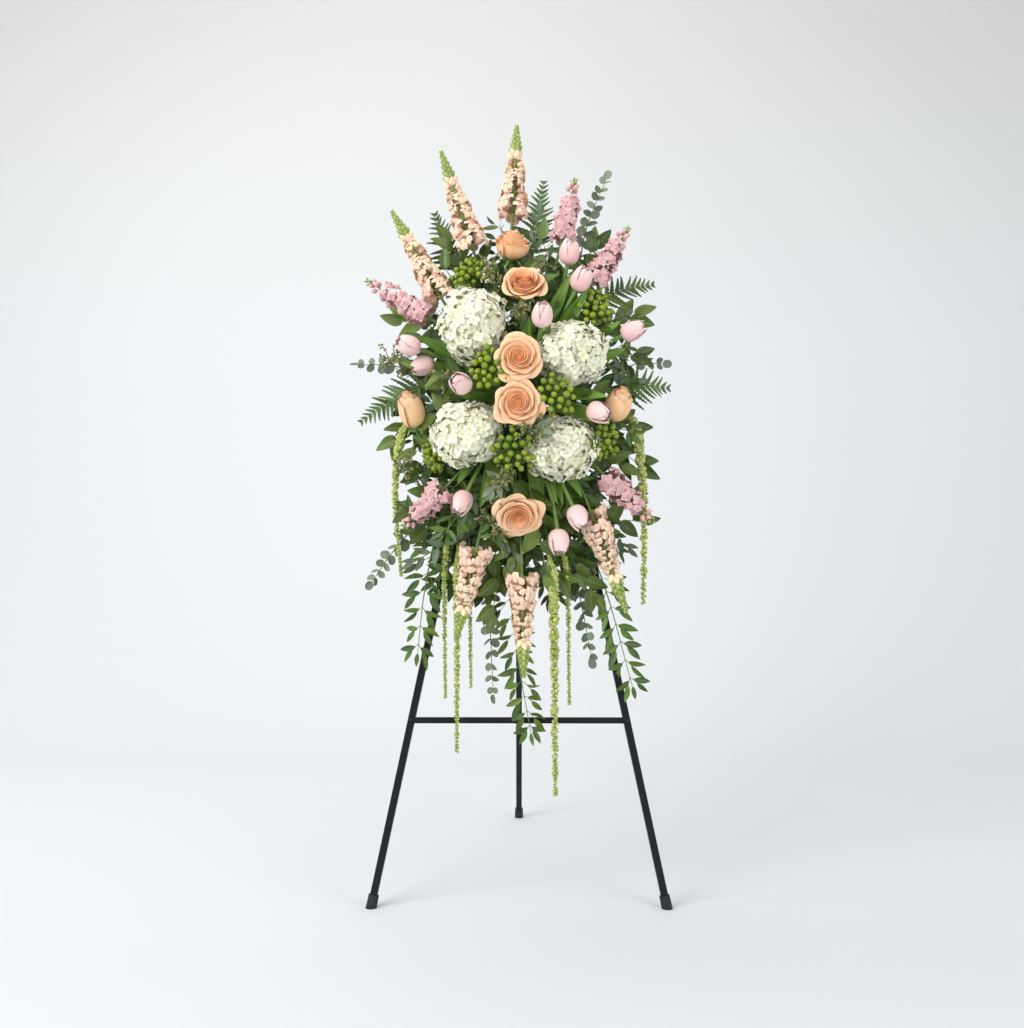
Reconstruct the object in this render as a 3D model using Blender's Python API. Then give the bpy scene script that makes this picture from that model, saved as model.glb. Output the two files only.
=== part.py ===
"""Standing funeral spray: cut flowers and trailing greens in a foam holder on a folding tripod easel.

Lengths are millimetres until MM turns them into Blender's metres. The spray stands on z = 0 with its
flowers facing -Y. The easel's two front legs and its crossbar lie in one leaning plane, and the pieces
fixed to that plane are placed in its own coordinates: across, up the plane, out to the front.
Flowers and leaves are grown ring by ring as closed solids, each kept only where it clears its neighbours.
"""

import math
import random

import bmesh
import bpy
from mathutils import Matrix, Vector
from mathutils.bvhtree import BVHTree

MM = 0.001
SEED = 11
WELD = 0.03                # points nearer than this are one
GAP = 0.3                  # between pieces that touch
CLEAR = 0.6                # between a petal or leaf and its neighbours

# Easel
FOOT_SPREAD = 616          # between the front feet
APEX_HEIGHT = 1485         # where the front legs' centre lines meet
APEX_SETBACK = 210         # how far the front frame leans back by then
REAR_SETBACK = 690         # rear foot behind the front feet
TUBE = 15                  # square tube
TUBE_WALL = 1.2
LEG_START = 8              # the leg's end above the sole of its foot
APEX_CLEARANCE = 11.5      # how far each front leg stops short of the middle
CROSSBAR_HEIGHT = 381
CROSSBAR_TALL = 13
CROSSBAR_THICK = 3
CROSSBAR_OVERHANG = 7
CROSSBAR_ROUND = 3.5
HINGE_ALONG = 1430         # hinge bolt, measured up the leaning plane
HINGE_BEHIND = 24
BOLT_RADIUS = 3
BOLT_HEAD = 5.5
BOLT_HEAD_THICK = 3
EAR_OFFSET = 9.9           # from the middle to the middle of each ear
EAR_THICK = 3
EAR_HALF = 11              # half of its length up the plane
EAR_BEHIND = 9             # how far it reaches past the bolt
PLATE_HALF = 26
PLATE_ENDS = (-30, 14)     # below and above the bolt
PLATE_THICK = 3
FOOT_RADIUS = 11.5         # at the top; a little wider at the sole
FOOT_LENGTH = 27
SOLE = 7
REAR_FOLD_DEG = 23

# Foam holder
HOLDER_ALONG = 1085
FOAM_HALF = (56, 152)
FOAM_FRONT = 92
FOAM_CHAMFER = 9
TRAY_WALL = 2
TRAY_RIM = 22
TRAY_BACK = TUBE / 2 + GAP
ARM_HEIGHT = 9
ARM_THICK = 3
TIE_BAND = 1.6
TIE_HALF = 2.4
ARMS = ((62, 92), (-100, 122))     # how far above the holder's middle, and how far out
STEM_ORIGIN_OUT = 58               # the stems spread from this depth inside the foam
HOLE_DEPTH = 18
HOLE_SPACING = 13
HOLE_EASE = 0.2                    # more room in the hole of a thin, triangular stalk
STEM_SIDES = 3
STEM_RADII = {"rose": 2.6, "tulip": 2.5, "hydrangea": 3.2, "spike": 2.6, "hypericum": 2.4, "amaranth": 2.3}
BLOOM_BASE = 8                     # how far a stem runs into the bottom of its bloom
TULIP_SIZE = (19, 50)              # radius and height
HYDRANGEA_CORE = 0.78              # its core's share of its radius
SPIKE_CORE = (5, 2)                # its radius at the foot and the tip
BERRIES = 7                        # in a bunch
BERRY_HUB = 34                     # where a bunch's stalks part, behind its middle
BERRY_SIZE = (5.6, 8)              # radius, and how far its tip stands out

LEAN = math.atan2(APEX_SETBACK, APEX_HEIGHT)
PLANE = Matrix(((1, 0, 0, 0), (0, math.sin(LEAN), -math.cos(LEAN), 0),
                (0, math.cos(LEAN), math.sin(LEAN), 0), (0, 0, 0, 1)))
FRONT = PLANE.to_3x3() @ Vector((0, 0, 1))

# Colour, roughness, metallic
MATERIALS = {
    "easel_paint": ((0.035, 0.037, 0.04), 0.45, 0.6),
    "rubber": ((0.02, 0.02, 0.022), 0.8, 0.0),
    "holder_plastic": ((0.05, 0.16, 0.07), 0.5, 0.0),
    "tie_plastic": ((0.02, 0.02, 0.02), 0.5, 0.0),
    "foam": ((0.07, 0.2, 0.1), 0.95, 0.0),
    "rose_petal": ((0.95, 0.56, 0.33), 0.55, 0.0),
    "hydrangea_petal": ((0.9, 0.92, 0.8), 0.6, 0.0),
    "tulip_petal": ((0.93, 0.66, 0.7), 0.5, 0.0),
    "snapdragon_petal": ((0.93, 0.6, 0.5), 0.6, 0.0),
    "stock_petal": ((0.86, 0.45, 0.58), 0.6, 0.0),
    "hypericum_berry": ((0.35, 0.5, 0.06), 0.35, 0.0),
    "amaranth_tassel": ((0.45, 0.58, 0.18), 0.7, 0.0),
    "fern_leaf": ((0.06, 0.2, 0.06), 0.6, 0.0),
    "eucalyptus_leaf": ((0.26, 0.37, 0.3), 0.6, 0.0),
    "ruscus_leaf": ((0.05, 0.19, 0.05), 0.5, 0.0),
    "lemon_leaf": ((0.09, 0.26, 0.06), 0.5, 0.0),
}

# Name, centre, the way it faces, radius, height, how far its outer petals open
ROSES = (
    ("rose_top", (-15, 45, 1392), (0.05, -0.35, 1.0), 42, 60, 0.8),
    ("rose_upper", (10, -10, 1297), (0.0, -0.85, 0.75), 45, 48, 1.0),
    ("rose_centre_high", (0, -92, 1133), (0.02, -1.0, 0.05), 46, 44, 1.0),
    ("rose_centre_low", (-2, -92, 1042), (0.0, -1.0, -0.05), 46, 44, 1.0),
    ("rose_left", (-228, 10, 1040), (-0.25, -0.35, 1.0), 30, 74, 0.2),
    ("rose_right", (208, 5, 1050), (0.35, -0.45, 1.0), 32, 70, 0.3),
    ("rose_low", (0, -35, 815), (0.0, -0.9, -0.45), 47, 48, 1.0),
)
# Name, centre, the way it faces, radius
HYDRANGEAS = (
    ("hydrangea_upper_left", (-94, -18, 1210), (-0.25, -1.0, 0.15), 75),
    ("hydrangea_upper_right", (108, -18, 1152), (0.3, -1.0, 0.05), 72),
    ("hydrangea_lower_left", (-106, -18, 985), (-0.3, -1.0, -0.1), 73),
    ("hydrangea_lower_right", (86, -18, 958), (0.25, -1.0, -0.15), 72),
)
# Name, then each bloom's centre and the way it points; blooms in one row share a stem
TULIPS = (
    ("tulips_upper_right", ((106, 25, 1372), (0.15, -0.3, 1.0)), ((130, -12, 1308), (0.55, -0.5, 1.0)),
     ((47, -78, 1222), (0.1, -0.6, 1.0))),
    ("tulip_right", ((240, 15, 1205), (1.0, -0.35, 0.45))),
    ("tulips_left", ((-118, -86, 1083), (-0.45, -1.0, 0.3)), ((-232, 0, 1172), (-1.0, -0.5, 0.3)),
     ((-205, 30, 1132), (-1.0, -0.3, -0.25))),
    ("tulip_inner_right", ((163, -60, 1025), (0.9, -0.7, -0.45))),
    ("tulip_low_left", ((-118, -35, 842), (-0.45, -0.55, -1.0))),
    ("tulips_low_right", ((122, -28, 812), (0.45, -0.45, -1.0)), ((82, -28, 762), (0.1, -0.35, -1.0))),
)
# Name, then each spike's lowest floret and tip
SNAPDRAGONS = (
    ("snapdragon_top", ((-15, 105, 1462), (-5, 122, 1664))),
    ("snapdragon_upper_left", ((-100, 92, 1395), (-168, 112, 1605))),
    ("snapdragon_left", ((-165, 62, 1280), (-270, 75, 1465))),
    ("snapdragon_low_left", ((-88, 8, 752), (-130, 0, 565))),
    ("snapdragon_low_centre", ((6, 8, 695), (10, -4, 488))),
    ("snapdragon_low_right", ((148, 18, 832), (222, 8, 622))),
)
STOCKS = (
    ("stocks_upper_right", ((92, 72, 1408), (120, 84, 1538)), ((158, 45, 1312), (232, 60, 1428))),
    ("stock_left", ((-195, 35, 1238), (-322, 50, 1315))),
    ("stock_low_left", ((-158, 12, 872), (-240, 12, 795))),
    ("stock_low_right", ((182, 12, 898), (278, 12, 805))),
)
# Name, then each cluster's centre, facing and radius
HYPERICUM = (
    ("hypericum_upper_left", ((-62, -92, 1117), (-0.3, -1.0, 0.1), 32),
     ((-108, 48, 1342), (-0.3, -0.8, 0.6), 34)),
    ("hypericum_upper_right", ((76, -88, 1058), (0.3, -1.0, 0.0), 34),
     ((168, 22, 1262), (0.5, -0.9, 0.3), 32)),
    ("hypericum_low", ((-10, -78, 942), (0.0, -1.0, -0.3), 36), ((-185, 8, 940), (-0.8, -0.8, -0.3), 28)),
    ("hypericum_right", ((186, -18, 968), (0.8, -0.8, -0.2), 32)),
)
# Name, then each tassel's way down from its stem and its thickest radius
AMARANTH = (
    ("amaranth_left", (((-215, 40, 1030), (-250, 38, 985), (-262, 40, 860), (-250, 42, 690)), 9.5)),
    ("amaranth_low_left", (((-150, 42, 785), (-158, 42, 690), (-156, 42, 432)), 7.5),
     (((-128, 48, 775), (-131, 44, 640), (-131, 22, 322)), 9.5),
     (((-108, 52, 765), (-106, 56, 680), (-102, 52, 452)), 7.0)),
    ("amaranth_low_right", (((62, 14, 740), (72, 14, 640), (76, 14, 232)), 12.0),
     (((90, 36, 745), (102, 34, 680), (106, 30, 418)), 7.5)),
    ("amaranth_right", (((205, 66, 1030), (245, 52, 1010), (263, 40, 860), (263, 38, 632)), 11.5)),
)
# Kind: leaf shape, how its leaves are set, material, leaf length, width and angle to the twig, pitch
GREEN_KINDS = {
    "fern": ("pinna", "all", "fern_leaf", 56, 8, 66, 13),
    "eucalyptus": ("round", "spaced", "eucalyptus_leaf", 46, 36, 58, 42),
    "ruscus": ("pointed", "alternate", "ruscus_leaf", 68, 27, 42, 27),
    "lemon": ("flat", "alternate", "lemon_leaf", 92, 50, 55, 29),
    "seeded": ("pointed", "alternate", "eucalyptus_leaf", 50, 18, 40, 19),
}
# Leaf shape: rings as place along the leaf, share of its width, depth of the fold at the rib
LEAF_SHAPES = {
    "pointed": ((0.42, 1.0, 0.1),),
    "round": ((0.5, 1.0, 0.08),),
    "flat": ((0.45, 1.0, None),),
}
# Name, kind, the way its leaves face, then each spray's line from where its leaves begin
GREENS = (
    ("fern_top", "fern", (0, -1, 0.2), ((25, 112, 1385), (40, 118, 1470), (55, 122, 1550))),
    ("fern_right", "fern", (0, -1, 0.2), ((150, 66, 1262), (220, 70, 1300), (290, 72, 1312)),
     ((215, 62, 1085), (270, 62, 1095), (322, 62, 1088))),
    ("fern_left", "fern", (0, -1, 0.2), ((-140, 112, 1350), (-165, 118, 1420), (-185, 122, 1480)),
     ((-200, 66, 1095), (-275, 66, 1060), (-340, 62, 1015))),
    ("eucalyptus_right", "eucalyptus", (0, -1, 0.1), ((122, 92, 1290), (145, 102, 1435), (190, 112, 1550)),
     ((195, 92, 1115), (255, 92, 1145), (310, 92, 1145))),
    ("eucalyptus_left", "eucalyptus", (0, -1, 0.1), ((-190, 84, 1115), (-270, 84, 1140), (-345, 82, 1142)),
     ((-205, 74, 815), (-270, 72, 740), (-315, 70, 675))),
    ("eucalyptus_low", "eucalyptus", (0, -1, 0.1), ((-62, 62, 730), (-62, 62, 600), (-55, 60, 435)),
     ((112, 62, 730), (135, 62, 620), (155, 60, 510))),
    ("ruscus_left", "ruscus", (0, -1, 0.1), ((-175, 50, 780), (-200, 44, 660), (-215, 42, 525))),
    ("ruscus_centre", "ruscus", (0, -1, 0.1), ((-20, 52, 660), (0, 40, 500), (25, 26, 360))),
    ("ruscus_right", "ruscus", (0, -1, 0.1), ((140, 52, 780), (190, 48, 640), (240, 42, 455))),
    ("lemon_leaf_left", "lemon", (0, -1, 0.1), ((-95, 112, 1200), (-170, 100, 1230), (-250, 96, 1240)),
     ((-85, 118, 1290), (-115, 112, 1350), (-150, 108, 1405)),
     ((-95, 96, 1060), (-180, 84, 1035), (-262, 78, 985)),
     ((-80, 84, 900), (-130, 74, 840), (-165, 66, 765))),
    ("lemon_leaf_right", "lemon", (0, -1, 0.1), ((95, 112, 1190), (180, 104, 1215), (250, 100, 1250)),
     ((85, 118, 1290), (120, 116, 1350), (165, 112, 1400)),
     ((95, 92, 1020), (180, 78, 985), (258, 70, 925)), ((80, 84, 900), (120, 74, 840), (160, 66, 765))),
    ("seeded_eucalyptus", "seeded", (0, -1, 0.1), ((15, -30, 985), (30, -75, 990), (48, -105, 985)),
     ((-30, -20, 905), (-45, -60, 890), (-52, -85, 868))),
)
LEAF_THICK = 1.2
TWIG_HALF = 1.6
SPRAY_STEM = 2.24
TASSEL_STEP = 26
TRIES = 40
HEAD_TRIES = 12
LONG_STEM = 170
GREEN_DEPTHS = (0, 8, -8, 16, -16, 24)   # how far a spray may move back or forward to fit


def clear_scene():
    for obj in list(bpy.data.objects):
        bpy.data.objects.remove(obj, do_unlink=True)


def make_materials():
    for name, (colour, roughness, metallic) in MATERIALS.items():
        material = bpy.data.materials.new(name)
        material.use_nodes = True
        shader = material.node_tree.nodes["Principled BSDF"]
        shader.inputs["Base Color"].default_value = (*colour, 1)
        shader.inputs["Roughness"].default_value = roughness
        shader.inputs["Metallic"].default_value = metallic
        material.diffuse_color = (*colour, 1)


def aim(place, along, side=(0, 0, 1), turn=0.0):
    """A matrix at place with +Z along `along` and +X as near as it can be to `side`."""
    z = Vector(along).normalized()
    x = Vector(side) - Vector(side).dot(z) * z
    if x.length < 1e-3:
        x = Vector((1, 0, 0)) - z.x * z
    x.normalize()
    turned = Matrix((x, z.cross(x), z)).transposed().to_4x4() @ Matrix.Rotation(turn, 4, "Z")
    return Matrix.Translation(Vector(place)) @ turned


class Solid:
    """A closed solid of triangles. Rings run anticlockwise as seen from the side they grow towards."""

    def __init__(self, verts=(), faces=()):
        self.verts, self.faces = list(verts), list(faces)

    def ring(self, points):
        start = len(self.verts)
        self.verts.extend(Vector(p) for p in points)
        return list(range(start, len(self.verts)))

    def bridge(self, low, high):
        """Faces between two rings, whatever their counts."""
        n, m, i, j = len(low), len(high), 0, 0
        while i < n or j < m:
            if j == m or (i < n and (i + 1) * m <= (j + 1) * n):
                self.faces.append((low[i % n], low[(i + 1) % n], high[j % m]))
                i += 1
            else:
                self.faces.append((low[i % n], high[(j + 1) % m], high[j % m]))
                j += 1

    def fan(self, ring, apex):
        tip, = self.ring([apex])
        self.faces += [(a, b, tip) for a, b in zip(ring, ring[1:] + ring[:1])]

    def close(self, ring):
        low, high = 0, len(ring) - 1
        while high - low > 1:
            self.faces.append((ring[low], ring[low + 1], ring[high]))
            if high - low > 2:
                self.faces.append((ring[low + 1], ring[high - 1], ring[high]))
            low, high = low + 1, high - 1

    def cells(self, low, high):
        """The four-sided faces between two rings of the same count, to be grown on or closed."""
        count = len(low)
        return [[low[i], low[(i + 1) % count], high[(i + 1) % count], high[i]] for i in range(count)]

    def grow(self, cell, rings, apex, free=None):
        """Raises a cell through rings of points to an apex, or closes it where that isn't free."""
        if free:
            trial = Solid()
            base = trial.ring([self.verts[i] for i in cell])
            trial.close(base[::-1])
            trial.grow(base, rings, apex)
            if not free(trial):
                self.close(cell)
                return False
        for points in rings:
            ring = self.ring(points)
            self.bridge(cell, ring)
            cell = ring
        if apex is None:
            self.close(cell)
        else:
            self.fan(cell, apex)
        return True

    def blade(self, cell, rows, apex, free=None):
        """Raises a thin blade from a cell whose first two corners are on its front. Each row holds pairs of
        front and back points across the blade. Both faces are split alike, so that they never cross."""
        if free:
            trial = Solid()
            base = trial.ring([self.verts[i] for i in cell])
            trial.close(base[::-1])
            trial.blade(base, rows, apex)
            if not free(trial):
                self.close(cell)
                return False
        front, back = [cell[0], cell[1]], [cell[3], cell[2]]
        for row in rows:
            next_front = self.ring(f for f, _ in row)
            next_back = self.ring(b for _, b in row)
            twin = dict(zip(front + next_front, back + next_back))
            start = len(self.faces)
            n, m, i, j = len(front) - 1, len(next_front) - 1, 0, 0
            while i < n or j < m:
                if j == m or (i < n and (2 * i + 1) * m <= (2 * j + 1) * n):
                    self.faces.append((front[i], front[i + 1], next_front[j]))
                    i += 1
                else:
                    self.faces.append((front[i], next_front[j + 1], next_front[j]))
                    j += 1
            self.faces += [(twin[b], twin[a], twin[c]) for a, b, c in self.faces[start:]]
            self.faces += [(front[-1], back[-1], next_back[-1]), (front[-1], next_back[-1], next_front[-1]),
                           (back[0], front[0], next_back[0]), (front[0], next_front[0], next_back[0])]
            front, back = next_front, next_back
        if apex is None:
            for k in range(len(front) - 1):
                self.faces += [(front[k], front[k + 1], back[k + 1]), (front[k], back[k + 1], back[k])]
        else:
            self.fan(front + back[::-1], apex)
        return True

    def crossings(self):
        """How many pairs of its own faces cut each other."""
        tree = BVHTree.FromPolygons(self.verts, self.faces)
        return sum(1 for i, j in tree.overlap(tree) if i < j and not set(self.faces[i]) & set(self.faces[j]))

    def placed(self, matrix):
        return Solid([matrix @ v for v in self.verts], self.faces)

    def bounds(self):
        return [[pick(v[i] for v in self.verts) for i in range(3)] for pick in (min, max)]

    def tree(self, grown=0.0):
        verts = self.verts
        if grown:
            normals = [Vector() for _ in verts]
            for face in self.faces:
                a, b, c = (verts[i] for i in face)
                for i in face:
                    normals[i] += (b - a).cross(c - a).normalized()
            verts = [v + n.normalized() * grown for v, n in zip(verts, normals)]
        return BVHTree.FromPolygons(verts, self.faces)


class Stand:
    """Everything placed so far, to test a new solid against."""

    def __init__(self):
        self.held = []

    def add(self, name, solid):
        self.held.append((name, *solid.bounds(), solid.tree()))

    def drop(self, name):
        self.held = [entry for entry in self.held if entry[0] != name]

    def hit(self, solid, own=(), grown=CLEAR):
        """The name of something the solid comes too close to, or None."""
        low, high = solid.bounds()
        tree = None
        for name, a, b, other in self.held:
            if name in own or any(low[i] - grown > b[i] or high[i] + grown < a[i] for i in range(3)):
                continue
            tree = tree or solid.tree(grown)
            if tree.overlap(other):
                return name
        return None


def lathe(profile, sides, lobe=lambda ring, k: (1.0, 0.0)):
    """A solid of revolution about +Z from its lowest point, rings of (radius, height) and its top."""
    solid = Solid()
    bottom, *middle, top = profile
    rings = []
    for index, (radius, height) in enumerate(middle):
        points = []
        for k in range(sides):
            swell, lift = lobe(index, k)
            angle = k * math.tau / sides
            points.append((radius * swell * math.cos(angle), radius * swell * math.sin(angle), height + lift))
        rings.append(solid.ring(points))
    for low, high in zip(rings, rings[1:]):
        solid.bridge(low, high)
    solid.fan(rings[-1], (0, 0, top))
    solid.fan(rings[0][::-1], (0, 0, bottom))
    return solid


def solid_from(bm):
    """The solid of a bmesh, which is then freed."""
    bmesh.ops.triangulate(bm, faces=bm.faces)
    bm.verts.index_update()
    solid = Solid([v.co.copy() for v in bm.verts], [tuple(v.index for v in f.verts) for f in bm.faces])
    bm.free()
    return solid


def rod(radius, low, high, sides, top_radius=None):
    """A cylinder or cone along Z between two heights."""
    bm = bmesh.new()
    bmesh.ops.create_cone(bm, cap_ends=True, segments=sides, radius1=radius, radius2=top_radius or radius,
                          depth=high - low, matrix=Matrix.Translation((0, 0, (low + high) / 2)))
    return solid_from(bm)


def block(low, high, chamfer=0.0, axis=None):
    """A box between two corners, with the edges along one axis (or all of them) cut back."""
    low, high = Vector(low), Vector(high)
    bm = bmesh.new()
    bmesh.ops.create_cube(bm, size=1.0)
    for v in bm.verts:
        v.co = Vector([low[i] + (v.co[i] + 0.5) * (high[i] - low[i]) for i in range(3)])
    if chamfer:
        edges = [e for e in bm.edges if axis is None or abs((e.verts[0].co - e.verts[1].co)[axis]) > 1e-6]
        bmesh.ops.bevel(bm, geom=edges, offset=chamfer, segments=1, affect="EDGES")
    return solid_from(bm)


def smooth_line(points, count):
    """Points evenly spread along a Catmull-Rom curve through the given ones."""
    points = [Vector(p) for p in points]
    ends = [2 * points[0] - points[1]] + points + [2 * points[-1] - points[-2]]
    line = []
    for k in range(count):
        place = k / (count - 1) * (len(points) - 1)
        i = min(int(place), len(points) - 2)
        t = place - i
        a, b, c, d = ends[i:i + 4]
        line.append(0.5 * (2 * b + (c - a) * t + (2 * a - 5 * b + 4 * c - d) * t * t
                           + (3 * b - a - 3 * c + d) * t ** 3))
    return line


def rings_along(line, radii, sides, twist=0.0):
    """Rings of points round a line, each turned by twist from the last."""
    side, rings = Vector((1, 0.1, 0.05)), []
    for k, place in enumerate(line):
        along = (line[min(k + 1, len(line) - 1)] - line[max(k - 1, 0)]).normalized()
        side = (side - side.dot(along) * along).normalized()
        up = along.cross(side)
        angles = [k * twist + j * math.tau / sides for j in range(sides)]
        rings.append([place + radii[k] * (side * math.cos(a) + up * math.sin(a)) for a in angles])
    return rings


def tube(line, radii, sides=4, twist=0.0):
    solid = Solid()
    rings = [solid.ring(points) for points in rings_along(line, radii, sides, twist)]
    for low, high in zip(rings, rings[1:]):
        solid.bridge(low, high)
    solid.close(rings[0][::-1])
    solid.close(rings[-1])
    return solid


def star(centre, out, towards, radius, lobes, notch, turn=0.0):
    """The rim of an open floret: lobes with notches between them, starting in the direction of `towards`."""
    out = Vector(out).normalized()
    x = towards - towards.dot(out) * out
    x.normalize()
    y = out.cross(x)
    rim = []
    for k in range(2 * lobes):
        reach = radius * (notch if k % 2 else 1.0)
        angle = turn + k * math.pi / lobes
        rim.append(centre + reach * (x * math.cos(angle) + y * math.sin(angle)) + out * (0.15 * reach))
    return rim


# Objects

def object_from(name, solid, collection):
    mesh = bpy.data.meshes.new(name)
    mesh.from_pydata([v * MM for v in solid.verts], [], solid.faces)
    obj = bpy.data.objects.new(name, mesh)
    collection.objects.link(obj)
    return obj


def evaluated_mesh(obj):
    graph = bpy.context.evaluated_depsgraph_get()
    return bpy.data.meshes.new_from_object(obj.evaluated_get(graph))


def keep_largest_body(bm):
    left, bodies = set(bm.faces), []
    while left:
        body, edge = set(), [left.pop()]
        while edge:
            face = edge.pop()
            body.add(face)
            joined = {other for e in face.edges for other in e.link_faces} & left
            left -= joined
            edge.extend(joined)
        bodies.append(body)
    bodies.sort(key=len)
    loose = [face for body in bodies[:-1] for face in body]
    bmesh.ops.delete(bm, geom=loose, context="FACES")
    return len(bodies) - 1


def weld(bm):
    """Joins points that a Boolean left almost together, unless that would open the body."""
    trial = bm.copy()
    bmesh.ops.remove_doubles(trial, verts=trial.verts, dist=WELD * MM)
    bmesh.ops.dissolve_degenerate(trial, dist=WELD * MM, edges=trial.edges)
    if any(len(e.link_faces) != 2 for e in trial.edges):
        trial.free()
        return bm
    bm.free()
    return trial


def finish(name, mesh, material, collection):
    mesh.name = name
    mesh.materials.clear()
    mesh.materials.append(bpy.data.materials[material])
    obj = bpy.data.objects.new(name, mesh)
    collection.objects.link(obj)
    return obj


def fused(name, solids, material, collection):
    """One closed body from overlapping solids, as the object `name`."""
    scene = bpy.context.scene.collection
    holder = bpy.data.collections.new(name + "_parts")
    scene.children.link(holder)
    base = object_from(name, solids[0], scene)
    if len(solids) > 1:
        for solid in solids[1:]:
            object_from(name, solid, holder)
        join = base.modifiers.new("join", "BOOLEAN")
        join.operation = "UNION"
        join.operand_type = "COLLECTION"
        join.collection = holder
        join.solver = "MANIFOLD"
    mesh = evaluated_mesh(base)
    for obj in (base, *holder.objects):
        bpy.data.objects.remove(obj)
    bpy.data.collections.remove(holder)
    bm = bmesh.new()
    bm.from_mesh(mesh)
    loose = keep_largest_body(bm)
    if loose:
        print(name, "loses", loose, "loose pieces")
    bmesh.ops.triangulate(bm, faces=bm.faces)
    bm = weld(bm)
    bm.to_mesh(mesh)
    bm.free()
    return finish(name, mesh, material, collection)


def cut(name, solid, cutters, material, collection, solver="EXACT"):
    """The solid with the cutters taken out of it."""
    scene = bpy.context.scene.collection
    base = object_from(name, solid, scene)
    holder = bpy.data.collections.new(name + "_cutters")
    scene.children.link(holder)
    for cutter in cutters:
        object_from(name, cutter, holder)
    bite = base.modifiers.new("cut", "BOOLEAN")
    bite.operation = "DIFFERENCE"
    bite.operand_type = "COLLECTION"
    bite.collection = holder
    bite.solver = solver
    mesh = evaluated_mesh(base)
    for obj in (base, *holder.objects):
        bpy.data.objects.remove(obj)
    bpy.data.collections.remove(holder)
    bm = bmesh.new()
    bm.from_mesh(mesh)
    bmesh.ops.triangulate(bm, faces=bm.faces)
    bm = weld(bm)
    bm.to_mesh(mesh)
    bm.free()
    return finish(name, mesh, material, collection)


def solid_of(obj):
    obj.data.calc_loop_triangles()
    return Solid([v.co / MM for v in obj.data.vertices], [tuple(t.vertices) for t in obj.data.loop_triangles])


def taken(obj):
    """The solid of a helper object, which is then removed."""
    solid = solid_of(obj)
    bpy.data.objects.remove(obj)
    return solid


# Easel

def leg_axis(side):
    """Foot point and direction of a front leg; side is -1 for the left one."""
    foot = Vector((side * FOOT_SPREAD / 2, 0, 0))
    return foot, (Vector((0, APEX_SETBACK, APEX_HEIGHT)) - foot).normalized()


def square_leg(name, frame, low, high, collection, more_cuts=()):
    """A hollow square tube along its frame's Z, open at both ends."""
    half, inner = TUBE / 2, TUBE / 2 - TUBE_WALL
    outside = block((-half, -half, low), (half, half, high)).placed(frame)
    inside = block((-inner, -inner, low - 5), (inner, inner, high + 5)).placed(frame)
    return cut(name, outside, [inside, *more_cuts], "easel_paint", collection)


def rubber_foot(name, frame, foot, collection):
    """A tapered rubber cap over the end of a leg, cut flat where it meets the floor."""
    body = rod(FOOT_RADIUS + 0.8, -2 * FOOT_RADIUS, FOOT_LENGTH, 10, FOOT_RADIUS - 0.4).placed(frame)
    socket = TUBE / 2 + GAP
    hole = block((-socket, -socket, SOLE), (socket, socket, FOOT_LENGTH + 5)).placed(frame)
    floor = block(foot + Vector((-60, -60, -80)), foot + Vector((60, 60, 0)))
    return cut(name, body, [hole, floor], "rubber", collection)


def hinge_place():
    return PLANE @ Vector((0, HINGE_ALONG, -HINGE_BEHIND))


def make_easel(collection, stand):
    made = []
    for side, word in ((-1, "left"), (1, "right")):
        foot, along = leg_axis(side)
        frame = aim(foot, along, side=along.cross(FRONT))
        reach = (Vector((0, APEX_SETBACK, APEX_HEIGHT)) - foot).length
        top = reach * (1 - APEX_CLEARANCE / (FOOT_SPREAD / 2))
        made.append(square_leg("easel_leg_" + word, frame, LEG_START, top, collection))
        made.append(rubber_foot("foot_" + word, frame, foot, collection))
    hinge = hinge_place()
    rear_foot = Vector((0, REAR_SETBACK, 0))
    rear = hinge - rear_foot
    frame = aim(rear_foot, rear, side=(1, 0, 0))
    across = aim(hinge, (1, 0, 0))
    pin_hole = rod(BOLT_RADIUS + GAP, -40, 40, 8).placed(across)
    made.append(square_leg("easel_leg_rear", frame, LEG_START, rear.length + 10, collection, [pin_hole]))
    made.append(rubber_foot("foot_rear", frame, rear_foot, collection))

    face = TUBE / 2 + GAP
    low, high = (HINGE_ALONG + end for end in PLATE_ENDS)
    plate = block((-PLATE_HALF, low, -face - PLATE_THICK), (PLATE_HALF, high, -face))
    ears = [block((side * EAR_OFFSET - EAR_THICK / 2, HINGE_ALONG - EAR_HALF, -HINGE_BEHIND - EAR_BEHIND),
                  (side * EAR_OFFSET + EAR_THICK / 2, HINGE_ALONG + EAR_HALF, -face - 1)) for side in (-1, 1)]
    bracket = taken(fused("easel_head", [s.placed(PLANE) for s in (plate, *ears)], "easel_paint", collection))
    made.append(cut("easel_head", bracket, [pin_hole], "easel_paint", collection))
    outer = EAR_OFFSET + EAR_THICK / 2 + GAP
    bolt = [rod(BOLT_RADIUS, -outer - 1, outer + 1, 8), rod(BOLT_HEAD, outer, outer + BOLT_HEAD_THICK, 6),
            rod(BOLT_HEAD, -outer - BOLT_HEAD_THICK, -outer, 6)]
    made.append(fused("hinge_bolt", [s.placed(across) for s in bolt], "easel_paint", collection))

    half_bar = FOOT_SPREAD / 2 * (1 - CROSSBAR_HEIGHT / APEX_HEIGHT) + CROSSBAR_OVERHANG
    along_bar = CROSSBAR_HEIGHT / math.cos(LEAN)
    bar = block((-half_bar, along_bar - CROSSBAR_TALL / 2, face),
                (half_bar, along_bar + CROSSBAR_TALL / 2, face + CROSSBAR_THICK), CROSSBAR_ROUND, 2)
    made.append(fused("easel_crossbar", [bar.placed(PLANE)], "easel_paint", collection))
    for obj in made:
        stand.add(obj.name, solid_of(obj))
    for turn in range(1, REAR_FOLD_DEG + 1):
        swing = (Matrix.Translation(hinge) @ Matrix.Rotation(math.radians(-turn), 4, "X")
                 @ Matrix.Translation(-hinge))
        stand.add("rear leg's way", block((-13, -11, -2), (13, 11, rear.length - 26)).placed(swing @ frame))


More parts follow.
